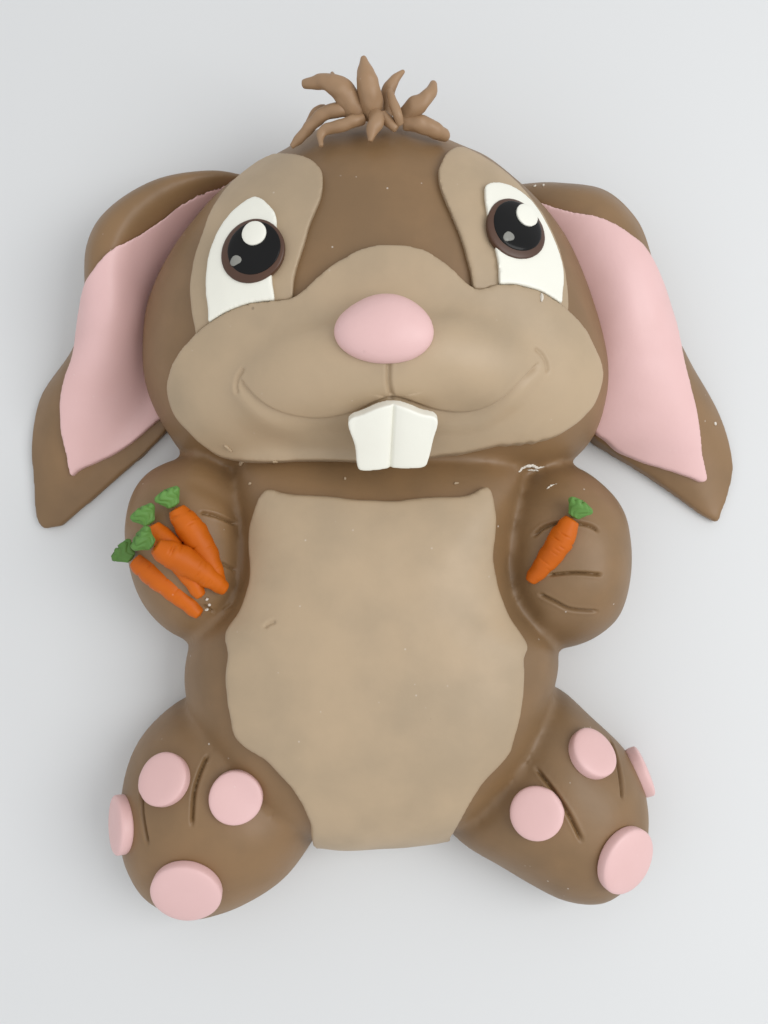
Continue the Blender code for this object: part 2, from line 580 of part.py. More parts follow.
def finish(obj, finish_material, crease=50.0):
    """Give a piece its finish and shade it round."""
    obj.data.materials.clear()
    obj.data.materials.append(finish_material)
    obj.data.shade_smooth()
    obj.data.set_sharp_from_angle(angle=math.radians(crease))
    return obj


def build_body(parts, cutters, finishes):
    """Head, torso, arms and feet: one draped body, flat where it stands."""
    body = draped("cake_body", 0.0, parts, False, BODY_TRIANGLES, FINGER_LINES + TOE_LINES)
    ground = block("ground", (-170, -210, -40), (170, 170, 0), cutters)
    boolean(body, ground, "DIFFERENCE")
    remove(ground)
    keep_largest(body)
    return finish(body, finishes["brown"])


def build_face(body, parts, cutters, finishes):
    """Eye patches, eye whites, the muzzle with its smile, nose and teeth, and the eyes."""
    made = {}
    patch_top = draped("patch_top", EYE_PATCH_SHEET, cutters, False, COVER_TRIANGLES, [])
    white_top = draped("white_top", EYE_PATCH_SHEET + EYE_WHITE_SHEET, cutters, False, COVER_TRIANGLES, [])
    muzzle_top = draped("muzzle_top", MUZZLE_SHEET, cutters, True, COVER_TRIANGLES, SMILE_LINES)
    muzzle = sheet("muzzle", MUZZLE_OUTLINE, muzzle_top, [body], parts, cutters, low=40.0, per_span=2)
    made["muzzle"] = finish(muzzle, finishes["tan"])
    muzzle_edge = prism("muzzle_edge", MUZZLE_OUTLINE, 10.0, 120.0, cutters, per_span=2)
    for side, patch_line, white_line in (("l", EYE_PATCH_L, EYE_WHITE_L), ("r", EYE_PATCH_R, EYE_WHITE_R)):
        patch = sheet("eye_patch_" + side, patch_line, patch_top, [body, muzzle_edge], parts, cutters)
        white = sheet("eye_white_" + side, white_line, white_top, [body, patch, muzzle_edge], parts, cutters)
        finish(patch, finishes["tan"])
        finish(white, finishes["white"])
        made["eye_patch_" + side] = patch
        made["eye_white_" + side] = white
    remove(patch_top, white_top, muzzle_top, muzzle_edge)
    return made


def build_eyes(body, face, parts, cutters, finishes):
    """On each side a brown iris, a black pupil on it, and two glints on the pupil."""
    for side in ("l", "r"):
        below = [body, face["eye_patch_" + side], face["eye_white_" + side]]
        carrier = face["eye_white_" + side]
        facing = top_of(tree_of(body), *IRIS_PLACES[side])[1]
        layers = (("iris_", IRIS_PLACES, IRIS, "iris", 18), ("pupil_", PUPIL_PLACES, PUPIL, "black", 16),
                  ("glint_large_", GLINT_PLACES, GLINT, "white", 12),
                  ("glint_small_", SPARK_PLACES, SPARK, "white", 8))
        for name, places, (radius, rise), finish_name, segments in layers:
            spot, _ = top_of(tree_of(carrier), *places[side])
            piece = button(name + side, spot, facing, (radius, radius, rise), below, parts, cutters,
                           segments, square=0.6)
            finish(piece, finishes[finish_name])
            below = below + [piece]
            if "glint" not in name:
                carrier = piece


def build_nose_and_teeth(body, face, parts, cutters, finishes):
    """A pink nose and one white piece for the two front teeth, both on the muzzle."""
    muzzle = face["muzzle"]
    spot, normal = top_of(tree_of(muzzle), *NOSE_MIDDLE)
    nose = button("nose", spot, normal, NOSE_RADII, [muzzle], parts, cutters, 18, 8, square=0.8)
    finish(nose, finishes["pink"])
    teeth = prism("teeth", TEETH_OUTLINE, 0.0, TEETH_THICKNESS, parts)
    width, depth = TOOTH_PARTING
    parting = block("parting", (-width / 2, -20, TEETH_THICKNESS - depth), (width / 2, 30, 20), cutters)
    lean = Matrix.Translation(place(0, 5, TEETH_MIDDLE_HEIGHT)) @ Matrix.Rotation(
        math.radians(TEETH_LEAN), 4, "X") @ Matrix.Translation(-Vector(place(0, 5, TEETH_THICKNESS / 2)))
    soft = teeth.modifiers.new("soft", "BEVEL")
    soft.width = 1.3 * MM
    soft.segments = 2
    soft.limit_method = "ANGLE"
    settle(teeth)
    boolean(teeth, parting, "DIFFERENCE")
    remove(parting)
    teeth.data.transform(lean)
    make_room(teeth, [muzzle, body], cutters)
    finish(teeth, finishes["white"])


def build_belly(body, face, parts, cutters, finishes):
    """The light panel over the belly, down to the cake's lower end."""
    top = draped("belly_top", BELLY_SHEET, cutters, False, COVER_TRIANGLES, [])
    belly = sheet("belly_panel", BELLY_OUTLINE, top, [body, face["muzzle"]], parts, cutters, low=3.0,
                  per_span=2)
    remove(top)
    finish(belly, finishes["tan"])


def build_ears(body, parts, cutters, finishes):
    """Lop ears beside the head, each with its pink lining."""
    for side, stations, lining_line in (("l", EAR_L_STATIONS, LINING_L), ("r", EAR_R_STATIONS, LINING_R)):
        piece = ear("ear_" + side, stations, parts)
        cover = swollen(piece, GAP + EAR_LINING * MM, cutters)
        make_room(piece, [body], cutters)
        lining = sheet("ear_lining_" + side, lining_line, cover, [piece, body], parts, cutters, low=3.0)
        remove(cover)
        finish(piece, finishes["brown"])
        finish(lining, finishes["pink"])


def build_pads(body, parts, cutters, finishes):
    """Four round pads on each foot."""
    tree = tree_of(body)
    for name, near, radius in PADS:
        if len(near) == 2:
            spot, normal = rest_on(tree, *near, radius * PAD_REST)
        else:
            spot, normal, _, _ = tree.find_nearest(Vector(place(*near)))
        spot = spot + normal * PAD_LIFT * MM
        pad = button(name, spot, normal, (radius, radius, PAD_THICKNESS), [body], parts, cutters,
                     square=0.35)
        finish(pad, finishes["pink"])


def build_carrots(body, parts, cutters, finishes):
    """Marzipan carrots on the paws, each with a green crown."""
    below = [body]
    tree = tree_of(body)
    for name, crown, tip, radius, lift in CARROTS:
        floor_crown = top_of(tree, *crown)[0].z / MM
        floor_tip = top_of(tree, *tip)[0].z / MM
        crown = np.array((*crown, floor_crown + radius - CARROT_SINK + lift))
        tip = np.array((*tip, floor_tip + CARROT_TIP_REST * radius + 0.5 * lift))
        line = [tuple(crown + (tip - crown) * t) for t in np.linspace(0, 1, len(CARROT_GIRTH))]
        girth = [radius * g for g in CARROT_GIRTH]
        carrot = tube(name, line, girth, parts, sides=8)
        make_room(carrot, below, cutters)
        finish(carrot, finishes["orange"])
        back = (crown - tip) / np.linalg.norm(crown - tip)
        leaf_line = [tuple(crown + back * d) for d in LEAF_PLACES]
        leaves = tube(name + "_leaves", leaf_line, LEAF_RADII, parts, sides=8)
        make_room(leaves, [carrot] + below, cutters)
        finish(leaves, finishes["green"])
        below = below + [carrot, leaves]


def build_hair(body, parts, cutters, finishes):
    """A tuft of rolled strands on top of the head."""
    below = [body]
    for name, line, radius in STRANDS:
        girth = radius * np.interp(np.linspace(0, 1, len(line)), STRAND_PLACES, STRAND_GIRTH)
        strand = tube(name, line, girth, parts, sides=6)
        make_room(strand, below, cutters)
        finish(strand, finishes["brown"])
        below = below + [strand]


def main():
    """Build every piece."""
    clear_scene()
    parts = collection("carrot_cake")
    cutters = collection("cutters")
    finishes = {
        "brown": material("brown_fondant", BROWN, 0.5),
        "tan": material("tan_fondant", TAN, 0.5),
        "pink": material("pink_fondant", PINK, 0.5),
        "white": material("white_fondant", WHITE, 0.45),
        "iris": material("iris_fondant", IRIS_BROWN, 0.3),
        "black": material("black_glaze", BLACK, 0.08),
        "orange": material("orange_marzipan", ORANGE, 0.5),
        "green": material("green_marzipan", GREEN, 0.5)}
    body = build_body(parts, cutters, finishes)
    face = build_face(body, parts, cutters, finishes)
    build_eyes(body, face, parts, cutters, finishes)
    build_nose_and_teeth(body, face, parts, cutters, finishes)
    build_belly(body, face, parts, cutters, finishes)
    build_ears(body, parts, cutters, finishes)
    build_pads(body, parts, cutters, finishes)
    build_carrots(body, parts, cutters, finishes)
    build_hair(body, parts, cutters, finishes)


main()
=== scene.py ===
"""Finished look of a carrot cake made as a lop-eared rabbit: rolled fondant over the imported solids."""
import math

import bpy
import numpy as np
from bpy.props import FloatProperty, FloatVectorProperty, PointerProperty
from bpy.types import Operator, Panel, PropertyGroup
from mathutils import Matrix, Vector, noise
from mathutils.bvhtree import BVHTree


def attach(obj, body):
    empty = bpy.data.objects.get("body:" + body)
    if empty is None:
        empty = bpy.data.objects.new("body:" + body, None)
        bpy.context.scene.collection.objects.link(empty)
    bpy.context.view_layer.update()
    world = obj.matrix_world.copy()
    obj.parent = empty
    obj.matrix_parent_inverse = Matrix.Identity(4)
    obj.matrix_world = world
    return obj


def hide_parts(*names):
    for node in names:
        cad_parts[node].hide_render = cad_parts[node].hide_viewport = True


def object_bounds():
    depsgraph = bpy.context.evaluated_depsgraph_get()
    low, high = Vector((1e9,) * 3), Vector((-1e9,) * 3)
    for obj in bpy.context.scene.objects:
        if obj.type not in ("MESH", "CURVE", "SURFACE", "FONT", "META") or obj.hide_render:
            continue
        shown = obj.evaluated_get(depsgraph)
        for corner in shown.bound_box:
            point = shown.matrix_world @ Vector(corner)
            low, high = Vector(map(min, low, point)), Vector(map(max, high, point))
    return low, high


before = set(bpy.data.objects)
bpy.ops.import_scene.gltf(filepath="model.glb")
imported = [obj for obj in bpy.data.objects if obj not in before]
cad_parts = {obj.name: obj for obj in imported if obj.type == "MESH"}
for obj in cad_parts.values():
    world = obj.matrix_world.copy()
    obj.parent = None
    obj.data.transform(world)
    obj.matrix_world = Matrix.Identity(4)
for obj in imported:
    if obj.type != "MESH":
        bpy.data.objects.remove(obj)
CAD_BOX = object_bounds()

bl_info = {
    "name": "Rabbit carrot cake",
    "version": (1, 0, 0),
    "blender": (4, 5, 0),
    "location": "3D View > Sidebar > Rabbit cake",
    "description": "Models the fondant and marzipan pieces of a rabbit-shaped carrot cake",
    "category": "Add Mesh",
}

MM = 0.001
BODY = "root"
# Where the middle of the footprint lies in the layout that the outlines are drawn in, in millimetres.
FOOTPRINT_MIDDLE = (0.0, -22.8)

# A height above everything, in millimetres, from which places in plan are found on the pieces below.
ABOVE = 200.0
DOWN = (0, 0, -1)
# How fine the faces of each piece are, in metres: first the skins that the sheets are cut out of.
OUTER_GRAIN = 0.0016
INNER_GRAIN = 0.0020
TEETH_GRAIN = 0.00045
EAR_GRAIN = 0.0011
PATCH_GRAIN = 0.0007
WHITE_GRAIN = 0.0006
BELLY_GRAIN = 0.0010
HAIR_GRAIN = 0.00032
SMEAR_GRAIN = 0.00018
# How far the inner skins stand out from the body, in millimetres: below nothing, they lie inside it.
INNER_DEPTH = -1.2
MUZZLE_INNER_DEPTH = -1.5
# How high the cutters of the sheets reach, and where each one starts, in millimetres.
CUTTER_TOP = 130.0
MUZZLE_START, PATCH_START, LOW_START = 36.0, 20.0, 3.0

# The plain forms under the fondant, in millimetres of the layout, and the sheets cut out of it.
HEAD_OUTLINE = [
    (-10, 139.5), (1, 139), (10, 136), (19, 132.5), (30, 128.5), (41, 124), (58, 110), (70.5, 96.5),
    (79, 82), (85, 66.5), (90, 50), (92, 38), (90.5, 25), (85, 11), (72, 0), (48, -8), (0, -11),
    (-50, -9), (-80, -2), (-94, 14), (-101, 29), (-102.5, 43), (-101, 61), (-94.5, 78), (-84, 94.5),
    (-73, 107), (-60, 117), (-47, 125), (-37, 132.5), (-21, 138.3)]
TORSO_OUTLINE = [
    (0, 12), (40, 12), (56, 4), (56, -10), (54, -25), (53, -42), (57, -56), (66, -66), (73, -76),
    (71, -92), (63, -120), (44, -141), (26, -149), (0, -152), (-18, -152.5), (-48, -145), (-68, -124),
    (-78, -97), (-78.5, -80), (-74, -69), (-65, -58), (-61, -44), (-61, -25), (-63, -8), (-60, 4),
    (-40, 12)]
ARM_L_OUTLINE = [
    (-70, 4), (-83, 1), (-96, -5), (-103, -14), (-105.5, -27), (-104.5, -39), (-100, -55), (-93, -66),
    (-83, -74), (-70, -77), (-58, -74), (-50, -62), (-48, -44), (-49, -28), (-54, -10)]
ARM_R_OUTLINE = [
    (62, 4), (79, 2), (91, -6), (98, -15), (101, -25), (102, -38), (100, -53), (95, -64), (84, -72),
    (71, -75), (57, -72), (46, -60), (40, -44), (40, -28), (46, -8)]
FOOT_L_OUTLINE = [
    (-62, -98), (-78, -99), (-87, -104), (-96, -114), (-101, -125), (-103, -139), (-102.5, -153),
    (-99, -166), (-90, -178), (-73, -185), (-60, -183), (-48, -178), (-36, -170), (-28, -160),
    (-23, -150), (-23, -139), (-31, -124), (-44, -108)]
FOOT_R_OUTLINE = [
    (60, -92), (75, -91), (90, -103), (103, -115), (109, -126), (111.5, -138), (111, -150), (108, -162),
    (100, -171), (90, -176), (76, -175), (63, -169), (48, -161), (34, -153), (28, -145), (31, -134),
    (38, -121), (48, -106)]
MUZZLE_OUTLINE = [
    (-1, 68.5), (-9, 67.8), (-16, 65), (-22, 61.4), (-27.5, 56.8), (-32.5, 51.8), (-37, 49.2), (-44, 48.6),
    (-51, 47.8), (-58, 46), (-66, 42.2), (-73.5, 37), (-79, 31.5), (-82.5, 26), (-84, 20), (-81.5, 12),
    (-77, 7), (-71, 1.5), (-64, -2.5), (-55, -4), (-44, -4.5), (-22, -3.5), (0, -3.5), (21, 0), (41, 4),
    (52, 5.5), (61, 8), (68, 12), (74, 17), (78, 23), (80, 30), (79.5, 35), (76.5, 40), (71.5, 46),
    (66, 50.3), (59.5, 54), (52, 56.8), (43, 58), (35, 57), (28.5, 55), (24.5, 56.6), (19.5, 60.7),
    (13.5, 65), (7, 67.8)]
BELLY_OUTLINE = [
    (-46, -15.5), (-50, -24), (-51.5, -32), (-50.5, -47), (-53, -59), (-58.5, -68.5), (-57, -76),
    (-57.3, -88), (-55, -98.5), (-52, -107.5), (-42, -113.5), (-34, -121), (-28, -130), (-25, -138),
    (-24.5, -147), (-23, -154), (-21, -162), (0, -162), (26, -161), (29, -153.5), (29, -144),
    (32.5, -131.5), (38, -121), (45.5, -113), (49, -106.5), (51, -96), (52, -85), (52, -75), (53, -69),
    (47, -60), (42.5, -49.5), (40, -39), (40, -28), (40, -20), (37, -11.5), (29.5, -15), (15, -16.5),
    (4, -18), (-10, -18.3), (-25, -17.5), (-38, -16.5)]
EYE_PATCH_L = [
    (-46.3, 109.6), (-40.5, 107.2), (-34.5, 104.4), (-30.4, 100.8), (-27.8, 97), (-27.2, 91.6),
    (-27.9, 85.3), (-29.6, 80.4), (-31.4, 75), (-32.8, 69), (-34.4, 63.6), (-36, 56), (-38, 46),
    (-54, 38), (-69, 34), (-72, 42), (-73.8, 50), (-74.4, 57), (-74, 63.5), (-72.8, 70), (-71.2, 76.5),
    (-69.6, 83.5), (-67.4, 90), (-64.4, 95.5), (-60.2, 100.8), (-55.2, 105.4), (-50.8, 108.4)]
EYE_PATCH_R = [
    (18.2, 109.4), (22.5, 112.5), (29.6, 110.5), (37.2, 107), (45, 101), (50, 94.7), (54.5, 89), (58.8, 80),
    (61.6, 72), (63, 63), (62, 50), (50, 44), (32, 46), (27, 55), (25.4, 62), (23.4, 68.9), (21.3, 75),
    (19, 80.3), (16.5, 85.8), (14.4, 91.5), (13.6, 97.3), (14.2, 101), (16, 105.9)]
EYE_WHITE_L = [
    (-51.7, 87.2), (-48.7, 86), (-45.3, 82.5), (-43.4, 79.6), (-42.6, 76), (-42.9, 66.7), (-43.6, 57.1),
    (-43, 46), (-54, 40), (-65, 38), (-66.5, 47), (-67.6, 54), (-67.7, 61), (-67, 67), (-65.6, 72),
    (-63.2, 77.3), (-59.8, 82), (-55.8, 85.4)]
EYE_WHITE_R = [
    (30.2, 91.6), (31.6, 95), (36, 96.7), (41.6, 96.5), (47.5, 93.5), (52.2, 88), (56.2, 81), (59.5, 73),
    (60.8, 66.5), (60, 56), (58, 46), (37, 46), (35.7, 58), (34.9, 66.6), (31.5, 80)]
LINING_L = [
    (-62, 112), (-71, 107.8), (-79, 103.2), (-84.6, 99.2), (-90.2, 93.8), (-95.5, 88.7), (-100.5, 83.4),
    (-104.5, 79.7), (-108.7, 76.2), (-114.2, 70.3), (-120.5, 63), (-124.2, 55), (-126, 47.5), (-126.6, 41),
    (-127.8, 36), (-130, 31), (-131.8, 25.8), (-133, 20.4), (-133.4, 11.2), (-132.8, 5.3), (-131.5, -0.8),
    (-130.2, -9), (-126.7, -6.2), (-118, -1.4), (-108.7, 4.5), (-102.1, 10.3), (-96, 16), (-86, 24),
    (-84, 50), (-72, 80), (-56, 98)]
LINING_R = [
    (50, 108), (58.1, 105.1), (65, 101.6), (72.4, 98.9), (79.9, 96.8), (84, 95.1), (88, 93.1), (92.4, 90.4),
    (97.2, 88), (101.6, 84), (107, 77.5), (112, 70.5), (115.6, 63), (117, 56.5), (118.4, 50.8),
    (119.8, 45.2), (121.9, 39), (124.3, 32.7), (127, 25.8), (129.5, 18), (131.5, 10.1), (133.7, 4.1),
    (135.6, -1.6), (133, -2.7), (128.5, -1.2), (121.5, 0.9), (114.8, 2.7), (108.5, 4.6), (98.5, 8.4),
    (92, 12.6), (84, 20), (78, 50), (64, 80), (48, 98)]
TEETH_OUTLINE = [
    (-15.4, 8.1), (-10.4, 11.4), (-5, 14.3), (-0.5, 15.3), (3.9, 14.6), (9.1, 12.5), (15, 10.3),
    (14.1, 2.2), (13, -5.8), (11.2, -8.8), (2.3, -9.5), (-4.2, -10.3), (-10.2, -10.9), (-11.9, -8.9),
    (-12.9, -1)]
EAR_L_STATIONS = [
    (-54, 106, -63, 121, 20, 0.0), (-60, 99, -80, 120.8, 30, 0.0), (-66, 88, -104, 114.5, 37, 0.1),
    (-74, 76, -121.5, 101, 40, 0.3), (-82, 62, -127.5, 84, 40, 0.7), (-85, 48, -127.5, 61, 36, 0.8),
    (-86, 34, -133.5, 45, 29, 0.35), (-88, 20, -146, 25, 20, 0.2), (-97, 7, -149, 5, 12.5, 0.1),
    (-113, -9, -147.5, -12, 8, 0.0), (-127, -22, -145.5, -26, 5.5, 0.0), (-135, -29.5, -142.5, -31, 4.2, 0.0)]
EAR_R_STATIONS = [
    (44, 104, 48, 122, 22, 0.4), (52, 96, 68, 123, 32, 0.4), (60, 86, 90, 120.5, 38, 0.4),
    (66, 74, 104, 108.5, 40, 0.5), (74, 60, 110, 91, 40, 0.7), (78, 46, 116.5, 68, 37, 0.9),
    (80, 32, 128, 52, 30, 0.6), (86, 16, 143, 28, 21, 0.4), (96, 9, 149.5, 7, 13, 0.2),
    (112, 0, 147.5, -7, 8.5, 0.0), (129, -11, 145, -14.5, 5.5, 0.0), (138, -17, 143.5, -19.5, 4.2, 0.0)]

# For each ear: where its crest runs, how high the side at the head stays, how much of that side is
# valley, and how hollow the rise out of it is.
EAR_PROFILES = {"l": (0.64, 0.08, 0.30, 2.0), "r": (0.50, 0.50, 0.0, 1.0)}
# Two powers that bend the outer side of the arch, and how much each changes as it gets squarer.
EAR_FALL = (1.8, 1.0)
EAR_ROUND = (1.15, -0.6)
# How far an ear's arch is drawn down, in metres, before it is levelled at the floor.
EAR_DROP = 0.1
# The raised lip along the upper edge of an ear: where it runs, its half width in shares, its height,
# and how far down the ear it fades out.
EAR_LIPS = {"l": (0.90, 0.03, 0.0, 0.3), "r": (0.86, 0.028, 1.3, 0.42)}

# Creases pressed into the brown fondant: points in plan, half width and depth. First the fingers and
# toes, then the soft steps of the paws.
CREASES = [
    ([(-69.5, -24.3), (-64, -25.3), (-57.6, -28)], 0.55, 1.5),
    ([(-61.5, -43.0), (-57, -45.5)], 0.5, 1.0),
    ([(-67.5, -59.0), (-64.5, -61.5)], 0.5, 1.1),
    ([(-61, -61.0), (-57.5, -58.2)], 0.5, 0.5),
    ([(56, -29), (60.5, -25.2), (69, -23.6), (76, -24.4), (79.5, -26.3)], 0.6, 1.7),
    ([(61.4, -43.7), (70.8, -42.6), (81, -43)], 0.55, 1.7),
    ([(59, -51.2), (64, -53.6), (70.5, -56.4), (81, -57)], 0.55, 1.7),
    ([(-64.4, -115), (-66.6, -121), (-68, -128), (-68, -139)], 0.65, 1.8),
    ([(-88.5, -125), (-87.7, -136), (-84.7, -147)], 0.65, 2.0),
    ([(59.5, -117), (65.5, -124.5), (70.9, -132.4), (75.6, -141.3)], 0.65, 2.0),
    ([(93, -109), (92.6, -118), (92.4, -127)], 0.6, 1.7)]
PAW_STEPS = [
    ([(-76, -12), (-67, -15.5), (-59, -21.5), (-55, -32), (-54.5, -46), (-58, -58), (-64, -66)], 2.6, 0.7),
    ([(50.5, -31), (50, -42), (53, -53), (59, -61)], 2.4, 0.6)]
# How strongly a crease's edge is raised, as a share of its depth.
CREASE_LIP = 0.08
BELLY_DENT = [([(-43.5, -65.5), (-41.5, -64), (-39.5, -63.4)], 0.7, 0.8)]

# The mouth: from each corner to the middle, and how wide its trough is at the corner and at the teeth.
SMILE_L = [
    (-54.2, 21.8), (-52, 18.5), (-47.5, 14), (-42, 10.6), (-35, 8.6), (-27, 8), (-19.7, 8.8), (-12, 10.8),
    (-5, 14), (-0.5, 15.2)]
SMILE_R = [
    (51.5, 31.5), (49.2, 28.4), (46.1, 24.9), (42.6, 20.8), (38.9, 17.3), (35.5, 15.2), (31.4, 13.5),
    (26, 12.4), (20.3, 12.1), (13, 12.6), (5.3, 14.4), (-0.5, 15.2)]
SMILE_WIDTHS = {"l": (1.4, 5.0), "r": (1.0, 2.6)}
SMILE_DEPTH = 1.4
LIP_HEIGHT = 0.3
MOUTH_TICKS = [
    ([(-52.6, 25.2), (-54.6, 22.6), (-55.6, 19.4), (-55, 17)], 0.7, 0.9),
    ([(49.6, 36.2), (52.4, 34.6), (54.6, 31.6), (55.2, 28.6)], 0.7, 0.9),
    ([(-2.4, 26.5), (-2.1, 20), (-0.7, 15.5)], 0.75, 1.3)]
# The muzzle's lower edge is scalloped on the right: from x, to x, length and height of a scallop.
SCALLOPS = (26.0, 60.0, 5.6, 0.45)
# How far a hand-cut edge wanders on the muzzle and the belly.
MUZZLE_WANDER = 0.16
BELLY_WANDER = 0.3
# The heights between which the muzzle's outline is cleared of the eye patches.
MUZZLE_ROOM = (10.0, 120.0)

# Foot pads: a place on the sole or in space, then the radius.
PADS = [
    ("toe_l_outer", (-106.5, -144.5, 34), 11.2), ("toe_l_middle", (-79.3, -124), 9.8),
    ("toe_l_inner", (-52.6, -129), 9.8), ("heel_l", (-69.5, -163.5), 13.0),
    ("toe_r_outer", (112, -120.5, 17), 10.2), ("toe_r_middle", (80.8, -111.5), 9.8),
    ("toe_r_inner", (59.2, -132.2), 9.8), ("heel_r", (93.5, -149.5), 12.8)]
# How far above and below its place a disc looks for the surface that it is pressed on, in metres.
DISC_REACH = 0.012
PAD_LEVELS = (-2.5, 1.4, 3.9)
PAD_REST = 0.8

# The eyes: places in plan, then for each layer its radius, the levels of its underside, rim and top
# above the head, and how flat it is.
EYES = {
    "l": {"iris": (-49.5, 65.8), "pupil": (-48.7, 66.4), "glint_large": (-48.3, 71.1),
          "glint_small": (-54.5, 62.0)},
    "r": {"iris": (40.3, 77.8), "pupil": (40.3, 78.4), "glint_large": (42.9, 82.4),
          "glint_small": (36.4, 73.3)}}
EYE_LAYERS = {
    "iris": (11.5, (1.0, 4.9, 5.9), 3.2), "pupil": (9.5, (4.4, 5.7, 6.5), 2.8),
    "glint_large": (4.3, (5.4, 6.8, 7.5), 3.0), "glint_small": (1.9, (5.6, 6.3, 6.8), 2.4)}
NOSE_MIDDLE = (-4.4, 37.2)
NOSE_RADII = (16.4, 11.9)
NOSE_LEVELS = (-1.5, 0.8, 7.7)
TEETH_LEAN = 38.0
TEETH_MIDDLE = (0.0, 5.0, 76.0)

# Carrots: the crown and the tip in plan, the radius, and how far each is lifted off the paw.
CARROTS = [
    ("1", (-78.9, -22.4), (-61.0, -52.0), 5.2, 0.0), ("2", (-87.5, -29.0), (-67.6, -56.6), 4.5, 0.0),
    ("4", (-95.4, -42.2), (-68.2, -63.4), 4.8, 0.0), ("3", (-84.8, -37.2), (-58.6, -53.6), 5.2, 5.0),
    ("5", (69.4, -21.5), (54.2, -47.2), 4.8, 0.0)]
CARROT_SINK = 0.8
CARROT_GIRTH = (0.56, 0.86, 1.0, 1.02, 0.99, 0.93, 0.85, 0.75, 0.62, 0.42)
CARROT_TIP_REST = 0.55
CARROT_MARKS = 22
LEAF_HEIGHT = 8.4
LEAF_GIRTH = (1.6, 2.4, 2.7, 3.2, 3.8, 4.4, 4.9, 5.1, 4.7, 3.0)
LEAF_FLATNESS = 0.62

# Scraps left by the work: places in plan, then the two radii, the height and the turn in degrees.
TAN_SCRAPS = [
    ((-60.5, 0.3), (1.7, 0.7), 0.8, -50), ((-56.5, -4.0), (1.5, 1.0), 0.8, 20),
    ((-52.1, -12.7), (0.8, 0.5), 0.6, 20), ((-42.5, -4.5), (1.0, 0.7), 0.6, -30),
    ((25.4, -10.6), (0.9, 0.4), 0.6, 10), ((-16.2, -10.1), (0.5, 0.4), 0.6, 60)]
WHITE_SCRAPS = [
    ((51.5, 54.6), (0.5, 1.7), 0.9, 5), ((-66.4, -56.4), (0.6, 0.5), 0.9, 0),
    ((-65.6, -58.6), (0.5, 0.5), 0.8, 0), ((-66.8, -60.6), (0.5, 0.4), 0.7, 0),
    ((56.7, 113.9), (0.5, 0.4), 0.7, 0), ((59.9, 113.7), (0.4, 0.5), 0.7, 30),
    ((138.4, 22.0), (0.5, 0.7), 0.7, 60), ((-53.4, -138.5), (0.45, 0.4), 0.7, 10)]
# The levels of a scrap's underside and rim.
SCRAP_BED = (-0.3, 0.3)
# Smears of icing sugar: the line in plan and the radius at each point.
SUGAR_SMEARS = [
    ("long", [(51.2, -4.2), (53.4, -1.8), (56.6, -0.8), (59.4, -1.3), (62.4, -1.0)],
     (0.35, 0.6, 0.7, 0.5, 0.2)),
    ("short", [(55.2, -2.6), (58, -2.4), (60.2, -2.7)], (0.2, 0.4, 0.15)),
    ("low", [(61.6, -10.6), (63.4, -9.2), (65.6, -8.4)], (0.2, 0.4, 0.15))]

# Hair strands: the node each stands for, the points from the tuft to its tip with the radius at each.
STRANDS = [
    ("hair_curl_l", [(-15.5, 119.5, 66, 4.2), (-18.7, 123.8, 70, 4.5), (-22.3, 126.9, 72.5, 4.0),
                     (-26.6, 129, 72.5, 3.2), (-31.4, 129.9, 70.5, 2.4), (-35.8, 130, 68.5, 1.6)]),
    ("hair_curl_back", [(-23, 130.5, 66, 1.5), (-24.9, 134, 65.5, 1.3), (-25.7, 137.5, 64, 0.6)]),
    ("hair_spike", [(-10.3, 119.5, 67, 3.7), (-11.1, 123.5, 72, 4.2), (-12.4, 127.7, 75, 4.0),
                    (-13.6, 132.2, 76, 2.9), (-14.5, 136.9, 76, 0.7)]),
    ("hair_spike_r", [(-5.4, 121, 64, 2.4), (-5.3, 127.3, 68, 2.6), (-3.4, 131.8, 70, 2.0),
                      (0.4, 135.9, 70, 0.6)]),
    ("hair_lit", [(-4.8, 126.8, 73, 1.0), (-3.3, 121.9, 74, 1.8), (-1.7, 117.6, 73.5, 1.8),
                  (-0.4, 115.1, 71.5, 1.3)]),
    ("hair_r_up", [(0.5, 120.8, 65, 3.2), (4.2, 122.9, 69, 3.5), (7.8, 124.8, 71, 2.9),
                   (10.3, 128.4, 71, 2.2), (11.3, 132.3, 70, 1.2)]),
    ("hair_r_low", [(1, 118.7, 66, 2.6), (6, 118.2, 67, 3.1), (11, 117.2, 66, 3.1), (15, 116.7, 63, 2.6),
                    (17, 116.6, 61, 1.8)]),
    ("hair_front", [(-9.4, 118.4, 71.0, 2.5), (-8.9, 115.4, 73, 2.9), (-10.2, 111.9, 73.5, 2.3),
                    (-11, 107.7, 73, 0.9)]),
    ("hair_cross", [(-7, 119, 70.5, 2.2), (-4.2, 116, 71, 2.1), (-1.6, 113.8, 71, 1.4)]),
    ("hair_l_low", [(-13.5, 117.5, 70, 2.0), (-17.7, 115.8, 71, 2.2), (-22.7, 114.2, 70, 2.1),
                    (-27.4, 113.6, 68.5, 1.9), (-29, 110.9, 68.5, 1.5), (-28.4, 106.9, 69.5, 0.8)]),
    ("hair_l_arch", [(-18.5, 121.5, 68, 2.4), (-22.4, 121, 69, 2.6), (-27.2, 120.4, 67.5, 2.4),
                     (-31, 118.5, 65, 2.3), (-35.5, 114.5, 62.5, 2.0), (-40, 110.4, 60.5, 1.0)]),
    ("hair_l_back", [(-27.5, 124.5, 62, 1.8), (-31.3, 123.3, 62, 1.6), (-34.5, 120, 60, 0.8)])]


def length(name, description, default):
    """A length that the user can change."""
    return FloatProperty(name=name, description=description, default=default, unit="LENGTH")


